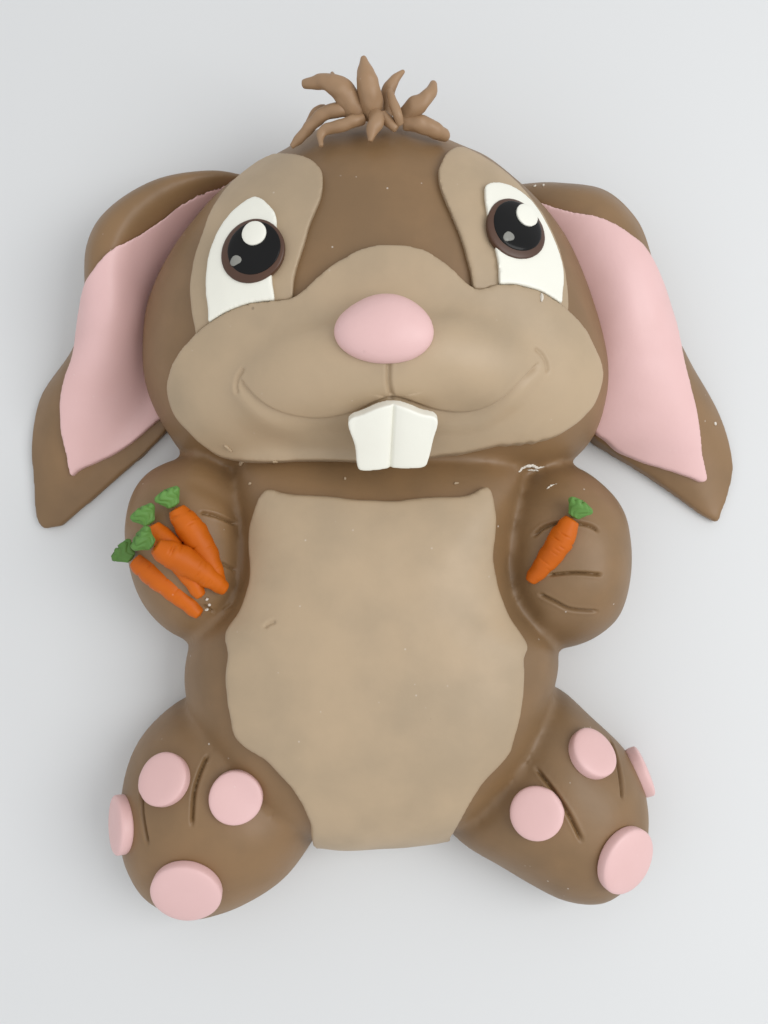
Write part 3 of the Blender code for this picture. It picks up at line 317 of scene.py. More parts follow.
class RabbitSizes(PropertyGroup):
    """Heights and thicknesses of the cake's forms and sheets."""

    head_height: length("Head height", "Top of the head above the floor", 0.076)
    torso_height: length("Torso height", "Top of the belly above the floor", 0.057)
    arm_height: length("Arm height", "Top of each arm above the floor", 0.049)
    foot_height: length("Foot height", "Top of each foot above the floor", 0.047)
    muzzle_height: length("Muzzle height", "Top of the muzzle above the floor", 0.088)
    muzzle_share: FloatProperty(
        name="Muzzle share", description="Width of the raised muzzle as a share of its sheet", default=0.97)
    muzzle_sheet: length("Muzzle sheet", "Thickness of the muzzle's sheet", 0.0044)
    belly_sheet: length("Belly sheet", "Thickness of the belly panel", 0.0032)
    eye_patch_sheet: length("Eye patch", "Thickness of the patches round the eyes", 0.0026)
    eye_white_sheet: length("Eye white", "Thickness of the whites on their patches", 0.0020)
    ear_edge: length("Ear edge", "Thickness of the ears' rim", 0.0040)
    ear_lining: length("Ear lining", "Thickness of the pink linings", 0.0025)
    pad_thickness: length("Pad thickness", "Thickness of the foot pads", 0.0034)
    teeth_thickness: length("Teeth thickness", "Thickness of the front teeth", 0.0044)
    body_grain: length("Body grain", "Size of the body's faces", 0.00165)
    sheet_grain: length("Sheet grain", "Size of the sheets' faces", 0.00085)


def colour(name, description, default):
    """A colour that the user can change."""
    return FloatVectorProperty(
        name=name, description=description, default=default, subtype="COLOR", size=3, min=0.0, max=1.0)


class RabbitColours(PropertyGroup):
    """Colours of the fondant and the marzipan."""

    brown: colour("Brown fondant", "Head, torso, arms, feet and ears", (0.243, 0.141, 0.062))
    hair: colour("Hair fondant", "Strands on the head", (0.35, 0.212, 0.112))
    tan: colour("Tan fondant", "Muzzle, belly and eye patches", (0.448, 0.334, 0.212))
    pink: colour("Pink fondant", "Nose, pads and ear linings", (0.74, 0.485, 0.470))
    white: colour("White fondant", "Eye whites, teeth and glints", (0.83, 0.825, 0.735))
    iris: colour("Iris fondant", "Rim of the eyes", (0.085, 0.036, 0.018))
    pupil: colour("Pupil glaze", "Middle of the eyes", (0.010, 0.010, 0.010))
    carrot: colour("Orange marzipan", "Carrots", (0.60, 0.132, 0.004))
    leaves: colour("Green marzipan", "Crowns of the carrots", (0.125, 0.285, 0.062))


def place(x, y, z):
    """A point of the layout in millimetres, as metres from the origin."""
    return ((x - FOOTPRINT_MIDDLE[0]) * MM, (y - FOOTPRINT_MIDDLE[1]) * MM, z * MM)


def smooth_line(points, per_span, closed):
    """A Catmull-Rom curve through the points."""
    knots = np.array(points, float)
    count = len(knots)
    out = []
    for i in range(count if closed else count - 1):
        if closed:
            a, b, c, d = (knots[(i + k) % count] for k in (-1, 0, 1, 2))
        else:
            a, b, c, d = (knots[min(max(i + k, 0), count - 1)] for k in (-1, 0, 1, 2))
        for t in np.arange(per_span) / per_span:
            out.append(0.5 * (2 * b + (c - a) * t + (2 * a - 5 * b + 4 * c - d) * t * t
                              + (3 * b - a - 3 * c + d) * t ** 3))
    if not closed:
        out.append(knots[-1])
    return np.array(out)


def hand_cut(curve, amount, seed):
    """An outline cut by hand: it wanders a little to either side."""
    chance = np.random.default_rng(seed)
    step = np.roll(curve, -1, axis=0) - np.roll(curve, 1, axis=0)
    out = np.stack([step[:, 1], -step[:, 0]], 1) / np.maximum(np.hypot(*step.T), 1e-6)[:, None]
    turn = np.linspace(0, 2 * math.pi, len(curve), endpoint=False)
    wander = sum(chance.uniform(0.4, 1.0) * np.sin(n * turn + chance.uniform(0, 6.28))
                 for n in (7, 12, 19, 29, 41))
    return curve + out * (amount * wander / 2.2)[:, None]


def only(*objects):
    """Select these objects alone, the last one active."""
    bpy.ops.object.select_all(action="DESELECT")
    for obj in objects:
        obj.select_set(True)
    bpy.context.view_layer.objects.active = objects[-1]


def spots_of(obj):
    """The vertices of a mesh as an array."""
    spots = np.empty(len(obj.data.vertices) * 3, np.float32)
    obj.data.vertices.foreach_get("co", spots)
    return spots.reshape(-1, 3).astype(float)


def normals_of(obj):
    """The vertex normals of a mesh as an array."""
    normals = np.empty(len(obj.data.vertices) * 3, np.float32)
    obj.data.vertex_normals.foreach_get("vector", normals)
    return normals.reshape(-1, 3).astype(float)


def move_to(obj, spots):
    """Put the vertices of a mesh at these places."""
    obj.data.vertices.foreach_set("co", np.asarray(spots, np.float32).ravel())
    obj.data.update()


def throw_away(*objects):
    """Remove pieces that only served to shape another."""
    for obj in objects:
        bpy.data.objects.remove(obj, do_unlink=True)


def edit_all(obj):
    """Open a mesh for editing with everything in it selected."""
    only(obj)
    bpy.ops.object.mode_set(mode="EDIT")
    bpy.ops.mesh.select_all(action="SELECT")


def face_outwards():
    """Turn the faces of the mesh being edited outwards, and end the editing."""
    bpy.ops.mesh.select_all(action="SELECT")
    bpy.ops.mesh.normals_make_consistent(inside=False)
    bpy.ops.object.mode_set(mode="OBJECT")


def apply(obj, kind, **settings):
    """Add a modifier and apply it."""
    only(obj)
    modifier = obj.modifiers.new(kind.lower(), kind)
    for name, value in settings.items():
        setattr(modifier, name, value)
    bpy.ops.object.modifier_apply(modifier=modifier.name)


def combine(obj, other, operation):
    """Cut one closed mesh with another, or keep only what they share."""
    apply(obj, "BOOLEAN", object=other, operation=operation, solver="MANIFOLD")


def fuse(obj, grain, iterations):
    """Make one even skin over what overlaps, and ease its edges."""
    apply(obj, "REMESH", mode="VOXEL", voxel_size=grain)
    if iterations:
        apply(obj, "SMOOTH", factor=0.5, iterations=iterations)


def ball(name, segments, rings):
    """A round primitive to be shaped."""
    bpy.ops.mesh.primitive_uv_sphere_add(segments=segments, ring_count=rings, radius=1.0, location=(0, 0, 0))
    obj = bpy.context.object
    obj.name = name
    return obj


def pillow(outline, height, stand_out, shoulder=2.4, below=12.0):
    """A soft form that rises from its outline: a ball shaped to the outline and the height."""
    curve = smooth_line(outline, 8, True)
    middle = curve.mean(axis=0)
    reach = curve - middle
    bearing = np.arctan2(reach[:, 1], reach[:, 0])
    order = np.argsort(bearing)
    distance = np.hypot(reach[:, 0], reach[:, 1])[order]
    obj = ball("pillow", 120, 48)
    x, y, z = spots_of(obj).T
    turn = np.arctan2(y, x)
    side = np.minimum(np.hypot(x, y), 1.0)
    radius = np.interp(turn, bearing[order], distance, period=2 * math.pi) + stand_out
    flat = side ** (2.0 / shoulder) * radius
    rise = np.abs(z) ** (2.0 / shoulder) * np.where(z > 0, height + stand_out, -below)
    middle_x, middle_y, _ = place(*middle, 0)
    move_to(obj, np.stack([middle_x + np.cos(turn) * flat * MM, middle_y + np.sin(turn) * flat * MM,
                           rise * MM], 1))
    return obj


def shared_outline(outline, share):
    """An outline drawn in towards its middle."""
    points = np.array(outline, float)
    middle = points.mean(axis=0)
    return middle + (points - middle) * share


def draped(name, stand_out, grain, muzzle=False, iterations=8):
    """The cake's forms under one skin, which stands out by a sheet's thickness."""
    sizes = bpy.context.scene.rabbit_sizes
    forms = [pillow(HEAD_OUTLINE, sizes.head_height / MM, stand_out),
             pillow(TORSO_OUTLINE, sizes.torso_height / MM, stand_out, shoulder=3.0)]
    for outline in (ARM_L_OUTLINE, ARM_R_OUTLINE):
        forms.append(pillow(outline, sizes.arm_height / MM, stand_out))
    for outline in (FOOT_L_OUTLINE, FOOT_R_OUTLINE):
        forms.append(pillow(outline, sizes.foot_height / MM, stand_out))
    if muzzle:
        core = shared_outline(MUZZLE_OUTLINE, sizes.muzzle_share)
        forms.append(pillow(core, sizes.muzzle_height / MM, 0.0, shoulder=2.3))
    only(*forms)
    bpy.ops.object.join()
    obj = bpy.context.object
    obj.name = name
    fuse(obj, grain, iterations)
    return obj


def flatten_below(obj, height=0.0):
    """Cut a closed mesh off flat at a height and close it there."""
    edit_all(obj)
    bpy.ops.mesh.bisect(plane_co=(0, 0, height), plane_no=(0, 0, 1), clear_inner=True, use_fill=True)
    bpy.ops.object.mode_set(mode="OBJECT")


def slab(name, outline, low, high, per_span=4, wander=0.0, scallops=None):
    """A flat outline raised between two heights, its edge cut by hand."""
    curve = hand_cut(smooth_line(outline, per_span, True), wander, len(outline))
    if scallops:
        start, end, length, height = scallops
        inside = (curve[:, 0] > start) & (curve[:, 0] < end) & (curve[:, 1] < 10)
        curve[inside, 1] += height * np.sin(curve[inside, 0] / length * 2 * math.pi)
    area = np.sum(curve[:, 0] * np.roll(curve[:, 1], -1) - curve[:, 1] * np.roll(curve[:, 0], -1))
    if area < 0:
        curve = curve[::-1]
    bpy.ops.mesh.primitive_circle_add(vertices=len(curve), radius=1.0, fill_type="NGON", location=(0, 0, 0))
    obj = bpy.context.object
    obj.name = name
    move_to(obj, [place(x, y, low) for x, y in curve])
    edit_all(obj)
    bpy.ops.mesh.extrude_region_move(TRANSFORM_OT_translate={"value": (0, 0, (high - low) * MM)})
    face_outwards()
    return obj


def nearest_on(points, spots, per_span=8):
    """For places in plan: the distance to a line, its side, and the share of the line that is nearest."""
    line = np.array([place(x, y, 0)[:2] for x, y in smooth_line(points, per_span, False)])
    best = np.full(len(spots), 1e9)
    side = np.zeros(len(spots))
    share = np.zeros(len(spots))
    for i, (a, b) in enumerate(zip(line[:-1], line[1:])):
        run = b - a
        along = np.clip(((spots[:, :2] - a) @ run) / (run @ run), 0, 1)
        off = spots[:, :2] - a - along[:, None] * run
        distance = np.hypot(off[:, 0], off[:, 1])
        closer = distance < best
        best[closer] = distance[closer]
        side[closer] = np.sign(run[0] * off[closer, 1] - run[1] * off[closer, 0])
        share[closer] = (i + along[closer]) / (len(line) - 1)
    return best / MM, side, share


def refine_near(obj, lines, reach, cuts):
    """Subdivide the upward faces near pressed lines, so that they come out crisp."""
    count = len(obj.data.polygons)
    middles = np.empty(count * 3, np.float32)
    obj.data.polygons.foreach_get("center", middles)
    middles = middles.reshape(-1, 3)
    facing = np.empty(count * 3, np.float32)
    obj.data.polygons.foreach_get("normal", facing)
    chosen = np.zeros(count, bool)
    for points in lines:
        chosen |= nearest_on(points, middles, 3)[0] < reach
    chosen &= facing.reshape(-1, 3)[:, 2] > 0.15
    only(obj)
    bpy.ops.object.mode_set(mode="EDIT")
    bpy.ops.mesh.select_mode(type="FACE")
    bpy.ops.mesh.select_all(action="DESELECT")
    bpy.ops.object.mode_set(mode="OBJECT")
    obj.data.polygons.foreach_set("select", chosen)
    bpy.ops.object.mode_set(mode="EDIT")
    bpy.ops.mesh.subdivide(number_cuts=cuts, ngon=False, quadcorner="INNERVERT")
    bpy.ops.object.mode_set(mode="OBJECT")


def press_creases(obj, creases):
    """Press thin creases with a slightly raised lip into the upward surface."""
    spots = spots_of(obj)
    normals = normals_of(obj)
    upward = np.clip((normals[:, 2] - 0.1) / 0.2, 0, 1)
    for points, width, depth in creases:
        distance, side, share = nearest_on(points, spots)
        fade = np.clip(np.minimum(share, 1 - share) * 8 + 0.25, 0, 1)
        press = depth * np.exp(-(distance / width) ** 2)
        lip = CREASE_LIP * depth * np.exp(-((distance - 2.2 * width) / (0.9 * width)) ** 2)
        spots -= normals * ((press - lip) * fade * upward * MM)[:, None]
    move_to(obj, spots)


def uneven(obj, amount, size, seed=0):
    """Let the surface swell and sink a little, as a hand leaves it."""
    spots = spots_of(obj)
    shift = Vector((seed * 1.7, seed * 0.9, seed * 2.3))
    swell = np.array([noise.noise(Vector(spot) / (size * MM) + shift) for spot in spots])
    move_to(obj, spots + normals_of(obj) * (swell * amount * MM)[:, None])


def finish(obj, material, slot, nodes, angle=60.0):
    """Keep a piece in the solids' box, shade it round, give it its finish, let it stand for its solids."""
    move_to(obj, np.clip(spots_of(obj), *CAD_BOX))
    obj.data.materials.clear()
    obj.data.materials.append(bpy.data.materials[material])
    obj.data.polygons.foreach_set("material_index", np.zeros(len(obj.data.polygons), np.int32))
    only(obj)
    bpy.ops.object.shade_smooth_by_angle(angle=math.radians(angle))
    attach(obj, BODY)
    if nodes:
        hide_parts(*nodes)
    return obj


def tree_of(name):
    """A search tree over a finished piece."""
    return BVHTree.FromObject(bpy.data.objects[name], bpy.context.evaluated_depsgraph_get())


def cast(trees, start, way):
    """The first surface that a ray meets, over several pieces."""
    best = None
    for tree in trees:
        hit, normal, _, distance = tree.ray_cast(Vector(start), Vector(way))
        if hit is not None and (best is None or distance < best[2]):
            best = (hit, normal, distance)
    return best


def look_down(trees, x, y):
    """The first surface below a place in plan."""
    return cast(trees, place(x, y, ABOVE), DOWN)


def rest_on(tree, x, y, radius):
    """Where a stiff round piece comes to rest on a surface, and the way it then faces."""
    middle, facing, _ = look_down([tree], x, y)
    rim = [look_down([tree], x + radius * math.cos(turn), y + radius * math.sin(turn))
           for turn in np.arange(8) * math.pi / 4]
    facing = (facing + sum((hit[1] for hit in rim), Vector())).normalized()
    raised = max(0.0, max((hit[0] - middle).dot(facing) for hit in rim))
    return middle + facing * raised, facing


def pressed_disc(name, tree, spot, facing, radii, levels, flat, hug=1.0, wobble=0.0, segments=72,
                 rings=32, turn=0.0, lobes=0.0):
    """A disc of fondant: levels are its underside, rim and top above what carries it, hug is how far it
    bends to follow that, and lobes makes it a rounded triangle."""
    up = Vector(facing).normalized()
    right = (Vector((1, 0, 0)) - up * up.x).normalized()
    right.rotate(Matrix.Rotation(math.radians(turn), 3, up))
    forward = up.cross(right)
    low, rim, high = levels
    obj = ball(name, segments, rings)
    x, y, z = spots_of(obj).T
    side = np.minimum(np.hypot(x, y), 1.0)
    bearing = np.arctan2(y, x)
    reach = side * (1.0 + wobble * (np.sin(2 * bearing + 0.7) + 0.6 * np.sin(3 * bearing + 2.1)))
    reach = reach * (1.0 - lobes * np.sin(3 * bearing))
    swell = (1 - side ** flat) ** (1 / flat)
    level = rim + np.where(z > 0, (high - rim) * swell, (low - rim) * swell)
    spots = []
    for u, v, h in zip(np.cos(bearing) * reach * radii[0], np.sin(bearing) * reach * radii[1], level):
        foot = Vector(spot) + right * (u * MM) + forward * (v * MM)
        hit = cast([tree], foot + up * DISC_REACH, -up)
        bend = 0.0
        lean = up
        if hit is not None and hit[2] < 2 * DISC_REACH:
            bend = (DISC_REACH - hit[2]) * hug
            lean = (hit[1] * hug + up * (2.0 - hug)).normalized()
        spots.append(foot + up * bend + lean * (h * MM))
    move_to(obj, spots)
    return obj


# Finishes of the fondant and the marzipan.
DIMPLE_DEPTH = 0.0006
SUGAR_TINT = (0.86, 0.82, 0.76, 1)
# The colour that the pits are darkened towards: painted shade in the pits.
PIT_SHADE_TINT = (0.12, 0.08, 0.05, 1)


def new_group(name, inputs, outputs):
    """A shader node group with named sockets."""
    group = bpy.data.node_groups.new(name, "ShaderNodeTree")
    for title, kind, default in inputs:
        socket = group.interface.new_socket(name=title, in_out="INPUT", socket_type=kind)
        socket.default_value = default
    for title, kind in outputs:
        group.interface.new_socket(name=title, in_out="OUTPUT", socket_type=kind)
    return group, group.nodes.new("NodeGroupInput"), group.nodes.new("NodeGroupOutput")


def feed(tree, socket, value):
    """Set a socket to a number or colour, or join it to another socket."""
    if isinstance(value, (int, float, tuple)):
        socket.default_value = value
    else:
        tree.links.new(value, socket)


def math_node(tree, operation, first, second):
    """A Math node between sockets or numbers."""
    made = tree.nodes.new("ShaderNodeMath")
    made.operation = operation
    feed(tree, made.inputs[0], first)
    feed(tree, made.inputs[1], second)
    return made.outputs[0]


def mix_colour(tree, factor, first, second):
    """A Mix node for colours."""
    made = tree.nodes.new("ShaderNodeMix")
    made.data_type = "RGBA"
    for socket, value in ((made.inputs["Factor"], factor), (made.inputs[6], first), (made.inputs[7], second)):
        feed(tree, socket, value)
    return made.outputs[2]


def ramp(tree, value, low, high):
    """A smooth step from 0 to 1 between two values."""
    made = tree.nodes.new("ShaderNodeMapRange")
    made.interpolation_type = "SMOOTHSTEP"
    made.inputs["From Min"].default_value = low
    made.inputs["From Max"].default_value = high
    tree.links.new(value, made.inputs["Value"])
    return made.outputs["Result"]


def noise_node(tree, vector, scale, detail):
    """A noise texture."""
    made = tree.nodes.new("ShaderNodeTexNoise")
    made.inputs["Scale"].default_value = scale
    made.inputs["Detail"].default_value = detail
    tree.links.new(vector, made.inputs["Vector"])
    return made.outputs["Fac"]


def cell_node(tree, vector, scale):
    """The distance to the middle of the nearest of many small cells."""
    made = tree.nodes.new("ShaderNodeTexVoronoi")
    made.inputs["Scale"].default_value = scale
    tree.links.new(vector, made.inputs["Vector"])
    return made.outputs["Distance"]


def fondant_group():
    """Kneaded sugar paste: cloudy colour, fine dimples, a few pits darkened with painted shade, and specks of
    icing sugar.
    """
    group, start, end = new_group(
        "kneaded_fondant",
        [("Colour", "NodeSocketColor", (0.5, 0.5, 0.5, 1)),
         ("Deep Colour", "NodeSocketColor", (0.4, 0.4, 0.4, 1)), ("Clouds", "NodeSocketFloat", 0.5),
         ("Sugar", "NodeSocketFloat", 0.3), ("Pits", "NodeSocketFloat", 0.3),
         ("Gloss Level", "NodeSocketFloat", 0.5)],
        [("Colour", "NodeSocketColor"), ("Roughness", "NodeSocketFloat"), ("Height", "NodeSocketFloat")])

    def times(first, second):
        return math_node(group, "MULTIPLY", first, second)

    def plus(first, second):
        return math_node(group, "ADD", first, second)

    spot = group.nodes.new("ShaderNodeTexCoord").outputs["Object"]
    broad = noise_node(group, spot, 16.0, 2.0)
    middle = noise_node(group, spot, 70.0, 3.0)
    fine = noise_node(group, spot, 420.0, 4.0)
    cloud = plus(times(broad, 0.65), times(middle, 0.35))
    cloud = times(ramp(group, cloud, 0.34, 0.68), start.outputs["Clouds"])
    tinted = mix_colour(group, cloud, start.outputs["Colour"], start.outputs["Deep Colour"])
    speck = ramp(group, cell_node(group, spot, 210.0), 0.10, 0.04)
    where = ramp(group, noise_node(group, spot, 55.0, 1.0), 0.58, 0.66)
    speck = times(times(speck, where), start.outputs["Sugar"])
    sugared = mix_colour(group, speck, tinted, SUGAR_TINT)
    pit = times(ramp(group, cell_node(group, spot, 95.0), 0.075, 0.02),
                ramp(group, noise_node(group, spot, 31.0, 1.0), 0.60, 0.66))
    pit = times(pit, start.outputs["Pits"])
    # Painted shade: the pits are darkened, standing in for the shade that falls in them.
    dark = mix_colour(group, times(pit, 0.55), sugared, PIT_SHADE_TINT)
    group.links.new(dark, end.inputs["Colour"])
    rough = plus(start.outputs["Gloss Level"], times(middle, 0.14))
    group.links.new(plus(rough, times(speck, 0.2)), end.inputs["Roughness"])
    height = plus(times(fine, 0.22), times(middle, 0.78))
    height = math_node(group, "SUBTRACT", height, times(pit, 1.4))
    group.links.new(plus(height, times(speck, 0.5)), end.inputs["Height"])


def new_finish(name, tint, deep, clouds, sugar, pits, gloss_level, bump=0.35, specular=0.5):
    """A fondant material from the shared group."""
    made = bpy.data.materials.new(name)
    made.use_nodes = True
    tree = made.node_tree
    shader = tree.nodes["Principled BSDF"]
    group = tree.nodes.new("ShaderNodeGroup")
    group.node_tree = bpy.data.node_groups["kneaded_fondant"]
    for socket, value in zip(group.inputs, ((*tint, 1.0), (*deep, 1.0), clouds, sugar, pits, gloss_level)):
        socket.default_value = value
    dimples = tree.nodes.new("ShaderNodeBump")
    dimples.inputs["Strength"].default_value = bump
    dimples.inputs["Distance"].default_value = DIMPLE_DEPTH
    for source, title, target, socket in (
            (group, "Colour", shader, "Base Color"), (group, "Roughness", shader, "Roughness"),
            (group, "Height", dimples, "Height"), (dimples, "Normal", shader, "Normal")):
        tree.links.new(source.outputs[title], target.inputs[socket])
    shader.inputs["Specular IOR Level"].default_value = specular
    return made


def shade(tint, factor, warm=1.0):
    """A colour made darker or lighter, and warmer or cooler."""
    return tuple(min(1.0, channel * factor * warm ** (1 - i)) for i, channel in enumerate(tint))


class CAKE_OT_finishes(Operator):
    """Mix the finishes of the fondant and the marzipan"""

    bl_idname = "rabbit_cake.finishes"
    bl_label = "Mix the finishes"

    def execute(self, context):
        tints = context.scene.rabbit_colours
        fondant_group()
        new_finish("brown_paste", tints.brown, shade(tints.brown, 0.78, 0.97), 0.9, 0.5, 0.25, 0.42)
        new_finish("hair_paste", tints.hair, shade(tints.hair, 0.84, 0.97), 0.8, 0.2, 0.0, 0.42)
        new_finish("tan_paste", tints.tan, shade(tints.tan, 0.83, 0.98), 0.9, 0.25, 0.8, 0.44)
        new_finish("pink_paste", tints.pink, shade(tints.pink, 0.92, 1.02), 0.7, 0.15, 0.15, 0.42)
        new_finish("white_paste", tints.white, shade(tints.white, 0.94, 1.01), 0.7, 0.0, 0.1, 0.38)
        new_finish("grey_paste", shade(tints.white, 0.42), shade(tints.white, 0.2), 1.0, 0.0, 0.1, 0.34, 0.6)
        new_finish("iris_paste", tints.iris, shade(tints.iris, 0.7), 0.8, 0.0, 0.0, 0.34, 0.2)
        new_finish("pupil_glaze", tints.pupil, shade(tints.pupil, 0.6), 0.5, 0.0, 0.0, 0.10, 0.03, 0.16)
        new_finish("carrot_paste", tints.carrot, shade(tints.carrot, 0.74, 1.05), 1.0, 0.1, 0.5, 0.42,
                   specular=0.25, bump=0.5)
        new_finish("leaf_paste", tints.leaves, shade(tints.leaves, 0.62), 1.0, 0.25, 0.3, 0.45, 0.5, 0.3)
        new_finish("icing_sugar", (0.74, 0.70, 0.62), (0.62, 0.56, 0.48), 0.6, 0.5, 0.0, 0.6, 0.6)
        return {"FINISHED"}


class CAKE_OT_body(Operator):
    """Drape the head, torso, arms and feet, and press their creases"""

    bl_idname = "rabbit_cake.body"
    bl_label = "Drape the body"

    def execute(self, context):
        sizes = context.scene.rabbit_sizes
        body = draped("draped_body", 0.0, sizes.body_grain)
        uneven(body, 0.35, 22.0)
        press_creases(body, PAW_STEPS)
        refine_near(body, [crease[0] for crease in CREASES], 3.4, 3)
        press_creases(body, CREASES)
        flatten_below(body)
        finish(body, "brown_paste", "brown_fondant", ["cake_body"], 70.0)
        return {"FINISHED"}


def cut_sheet(name, outline, outer, inner, low, grain, iterations, beside=(), wander=0.1, scallops=None):
    """A rolled sheet between two skins, cut to its outline, with its edges eased."""
    obj = slab(name, outline, low, CUTTER_TOP, wander=wander, scallops=scallops)
    combine(obj, outer, "INTERSECT")
    for other in (inner, *beside):
        combine(obj, other, "DIFFERENCE")
    fuse(obj, grain, iterations)
    uneven(obj, 0.12, 9.0, len(outline))
    return obj


def press_smile(obj):
    """Press the mouth as a trough with a steep upper wall and a soft lower lip."""
    spots = spots_of(obj)
    normals = normals_of(obj)
    upward = np.clip((normals[:, 2] - 0.1) / 0.2, 0, 1)
    depth = np.zeros(len(spots))
    lift = np.zeros(len(spots))
    for points, (corner, middle), below in ((SMILE_L, SMILE_WIDTHS["l"], -1),
                                            (SMILE_R, SMILE_WIDTHS["r"], 1)):
        distance, side, share = nearest_on(points, spots)
        off = distance * side * below
        width = corner + (middle - corner) * share
        start = np.clip(share * 14, 0, 1)
        wall = np.exp(-(off / 0.6) ** 2)
        trough = np.clip(1 - off / (width + 0.8), 0, 1) ** 1.6
        lip = np.where(off > 0, np.exp(-((off - width - 1.8) / (1.2 + 0.3 * width)) ** 2), 0)
        depth = np.maximum(depth, np.where(off < 0, wall, trough) * SMILE_DEPTH * start)
        lift = np.maximum(lift, lip * LIP_HEIGHT * start)
    spots += normals * ((lift - depth) * upward * MM)[:, None]
    move_to(obj, spots)


class CAKE_OT_muzzle(Operator):
    """Lay the tan muzzle over the face and press its mouth"""

    bl_idname = "rabbit_cake.muzzle"
    bl_label = "Lay the muzzle"

    def execute(self, context):
        sizes = context.scene.rabbit_sizes
        skin = draped("muzzle_skin", sizes.muzzle_sheet / MM, OUTER_GRAIN, muzzle=True, iterations=60)
        inner = draped("muzzle_inner", MUZZLE_INNER_DEPTH, INNER_GRAIN)
        muzzle = cut_sheet("muzzle_sheet", MUZZLE_OUTLINE, skin, inner, MUZZLE_START,
                           sizes.sheet_grain, 5, wander=MUZZLE_WANDER, scallops=SCALLOPS)
        throw_away(skin, inner)
        finish(muzzle, "tan_paste", "tan_fondant", ["muzzle"])
        return {"FINISHED"}


class CAKE_OT_nose(Operator):
    """Press the pink nose on the muzzle"""

    bl_idname = "rabbit_cake.nose"
    bl_label = "Press the nose"

    def execute(self, context):
        muzzle = tree_of("muzzle_sheet")
        spot, facing, _ = look_down([muzzle], *NOSE_MIDDLE)
        nose = pressed_disc("nose_button", muzzle, spot, facing, NOSE_RADII, NOSE_LEVELS, 2.3,
                            wobble=0.006, segments=96, rings=48, lobes=0.035)
        finish(nose, "pink_paste", "pink_fondant", ["nose"])
        return {"FINISHED"}


class CAKE_OT_mouth(Operator):
    """Press the smile and the line under the nose"""

    bl_idname = "rabbit_cake.mouth"
    bl_label = "Press the mouth"

    def execute(self, context):
        muzzle = bpy.data.objects["muzzle_sheet"]
        refine_near(muzzle, [SMILE_L, SMILE_R] + [tick[0] for tick in MOUTH_TICKS], 4.0, 1)
        press_smile(muzzle)
        press_creases(muzzle, MOUTH_TICKS)
        return {"FINISHED"}


class CAKE_OT_eye_patches(Operator):
    """Lay the tan patches and the whites of the eyes"""

    bl_idname = "rabbit_cake.eye_patches"
    bl_label = "Lay the eye patches"

    def execute(self, context):
        sizes = context.scene.rabbit_sizes
        patch_height = sizes.eye_patch_sheet / MM
        patch_skin = draped("patch_skin", patch_height, OUTER_GRAIN)
        white_skin = draped("white_skin", patch_height + sizes.eye_white_sheet / MM, OUTER_GRAIN)
        inner = draped("patch_inner", INNER_DEPTH, INNER_GRAIN)
        muzzle = slab("muzzle_room", MUZZLE_OUTLINE, *MUZZLE_ROOM, wander=MUZZLE_WANDER, scallops=SCALLOPS)
        for side, patch_line, white_line in (("l", EYE_PATCH_L, EYE_WHITE_L),
                                             ("r", EYE_PATCH_R, EYE_WHITE_R)):
            patch = cut_sheet("patch_sheet_" + side, patch_line, patch_skin, inner, PATCH_START,
                              PATCH_GRAIN, 3, [muzzle])
            white = cut_sheet("white_sheet_" + side, white_line, white_skin, inner, PATCH_START,
                              WHITE_GRAIN, 3, [muzzle])
            finish(patch, "tan_paste", "tan_fondant", ["eye_patch_" + side])
            finish(white, "white_paste", "white_fondant", ["eye_white_" + side])
        throw_away(patch_skin, white_skin, inner, muzzle)
        return {"FINISHED"}


class CAKE_OT_eyes(Operator):
    """Press the irises, the glazed pupils and their glints"""

    bl_idname = "rabbit_cake.eyes"
    bl_label = "Press the eyes"

    def execute(self, context):
        finishes = {"iris": ("iris_paste", "iris_fondant"), "pupil": ("pupil_glaze", "black_glaze"),
                    "glint_large": ("white_paste", "white_fondant"),
                    "glint_small": ("grey_paste", "white_fondant")}
        body = tree_of("draped_body")
        for side, places in EYES.items():
            facing = look_down([body], *places["iris"])[1]
            for layer, (radius, levels, flat) in EYE_LAYERS.items():
                spot = look_down([body], *places[layer])[0]
                wobble = 0.12 if layer == "glint_small" else 0.012
                piece = pressed_disc("%s_dot_%s" % (layer, side), body, spot, facing, (radius, radius),
                                     levels, flat, wobble=wobble)
                finish(piece, *finishes[layer], ["%s_%s" % (layer, side)])
        return {"FINISHED"}


class CAKE_OT_teeth(Operator):
    """Set the front teeth under the mouth"""

    bl_idname = "rabbit_cake.teeth"
    bl_label = "Set the teeth"

    def execute(self, context):
        sizes = context.scene.rabbit_sizes
        thick = sizes.teeth_thickness / MM
        teeth = slab("front_teeth", TEETH_OUTLINE, 0.0, thick)
        fuse(teeth, TEETH_GRAIN, 4)
        spots = spots_of(teeth)
        middle_x, middle_y, _ = place(*TEETH_MIDDLE)
        across = (spots[:, 0] - middle_x) / MM
        upper = np.clip(spots[:, 2] / (thick * MM), 0, 1)
        parting = np.exp(-((across + 0.2) / 0.55) ** 2) * 0.9 + 0.35 * np.exp(-((across + 0.2) / 2.2) ** 2)
        spots[:, 2] -= parting * upper * MM
        spots[:, 2] += upper * 0.5 * MM * np.clip(1 - ((np.abs(across) - 6.5) / 6.5) ** 2, 0, 1)
        move_to(teeth, spots)
        teeth.data.transform(
            Matrix.Translation(place(*TEETH_MIDDLE)) @ Matrix.Rotation(math.radians(TEETH_LEAN), 4, "X")
            @ Matrix.Translation((-middle_x, -middle_y, -thick * MM / 2)))
        finish(teeth, "white_paste", "white_fondant", ["teeth"])
        return {"FINISHED"}


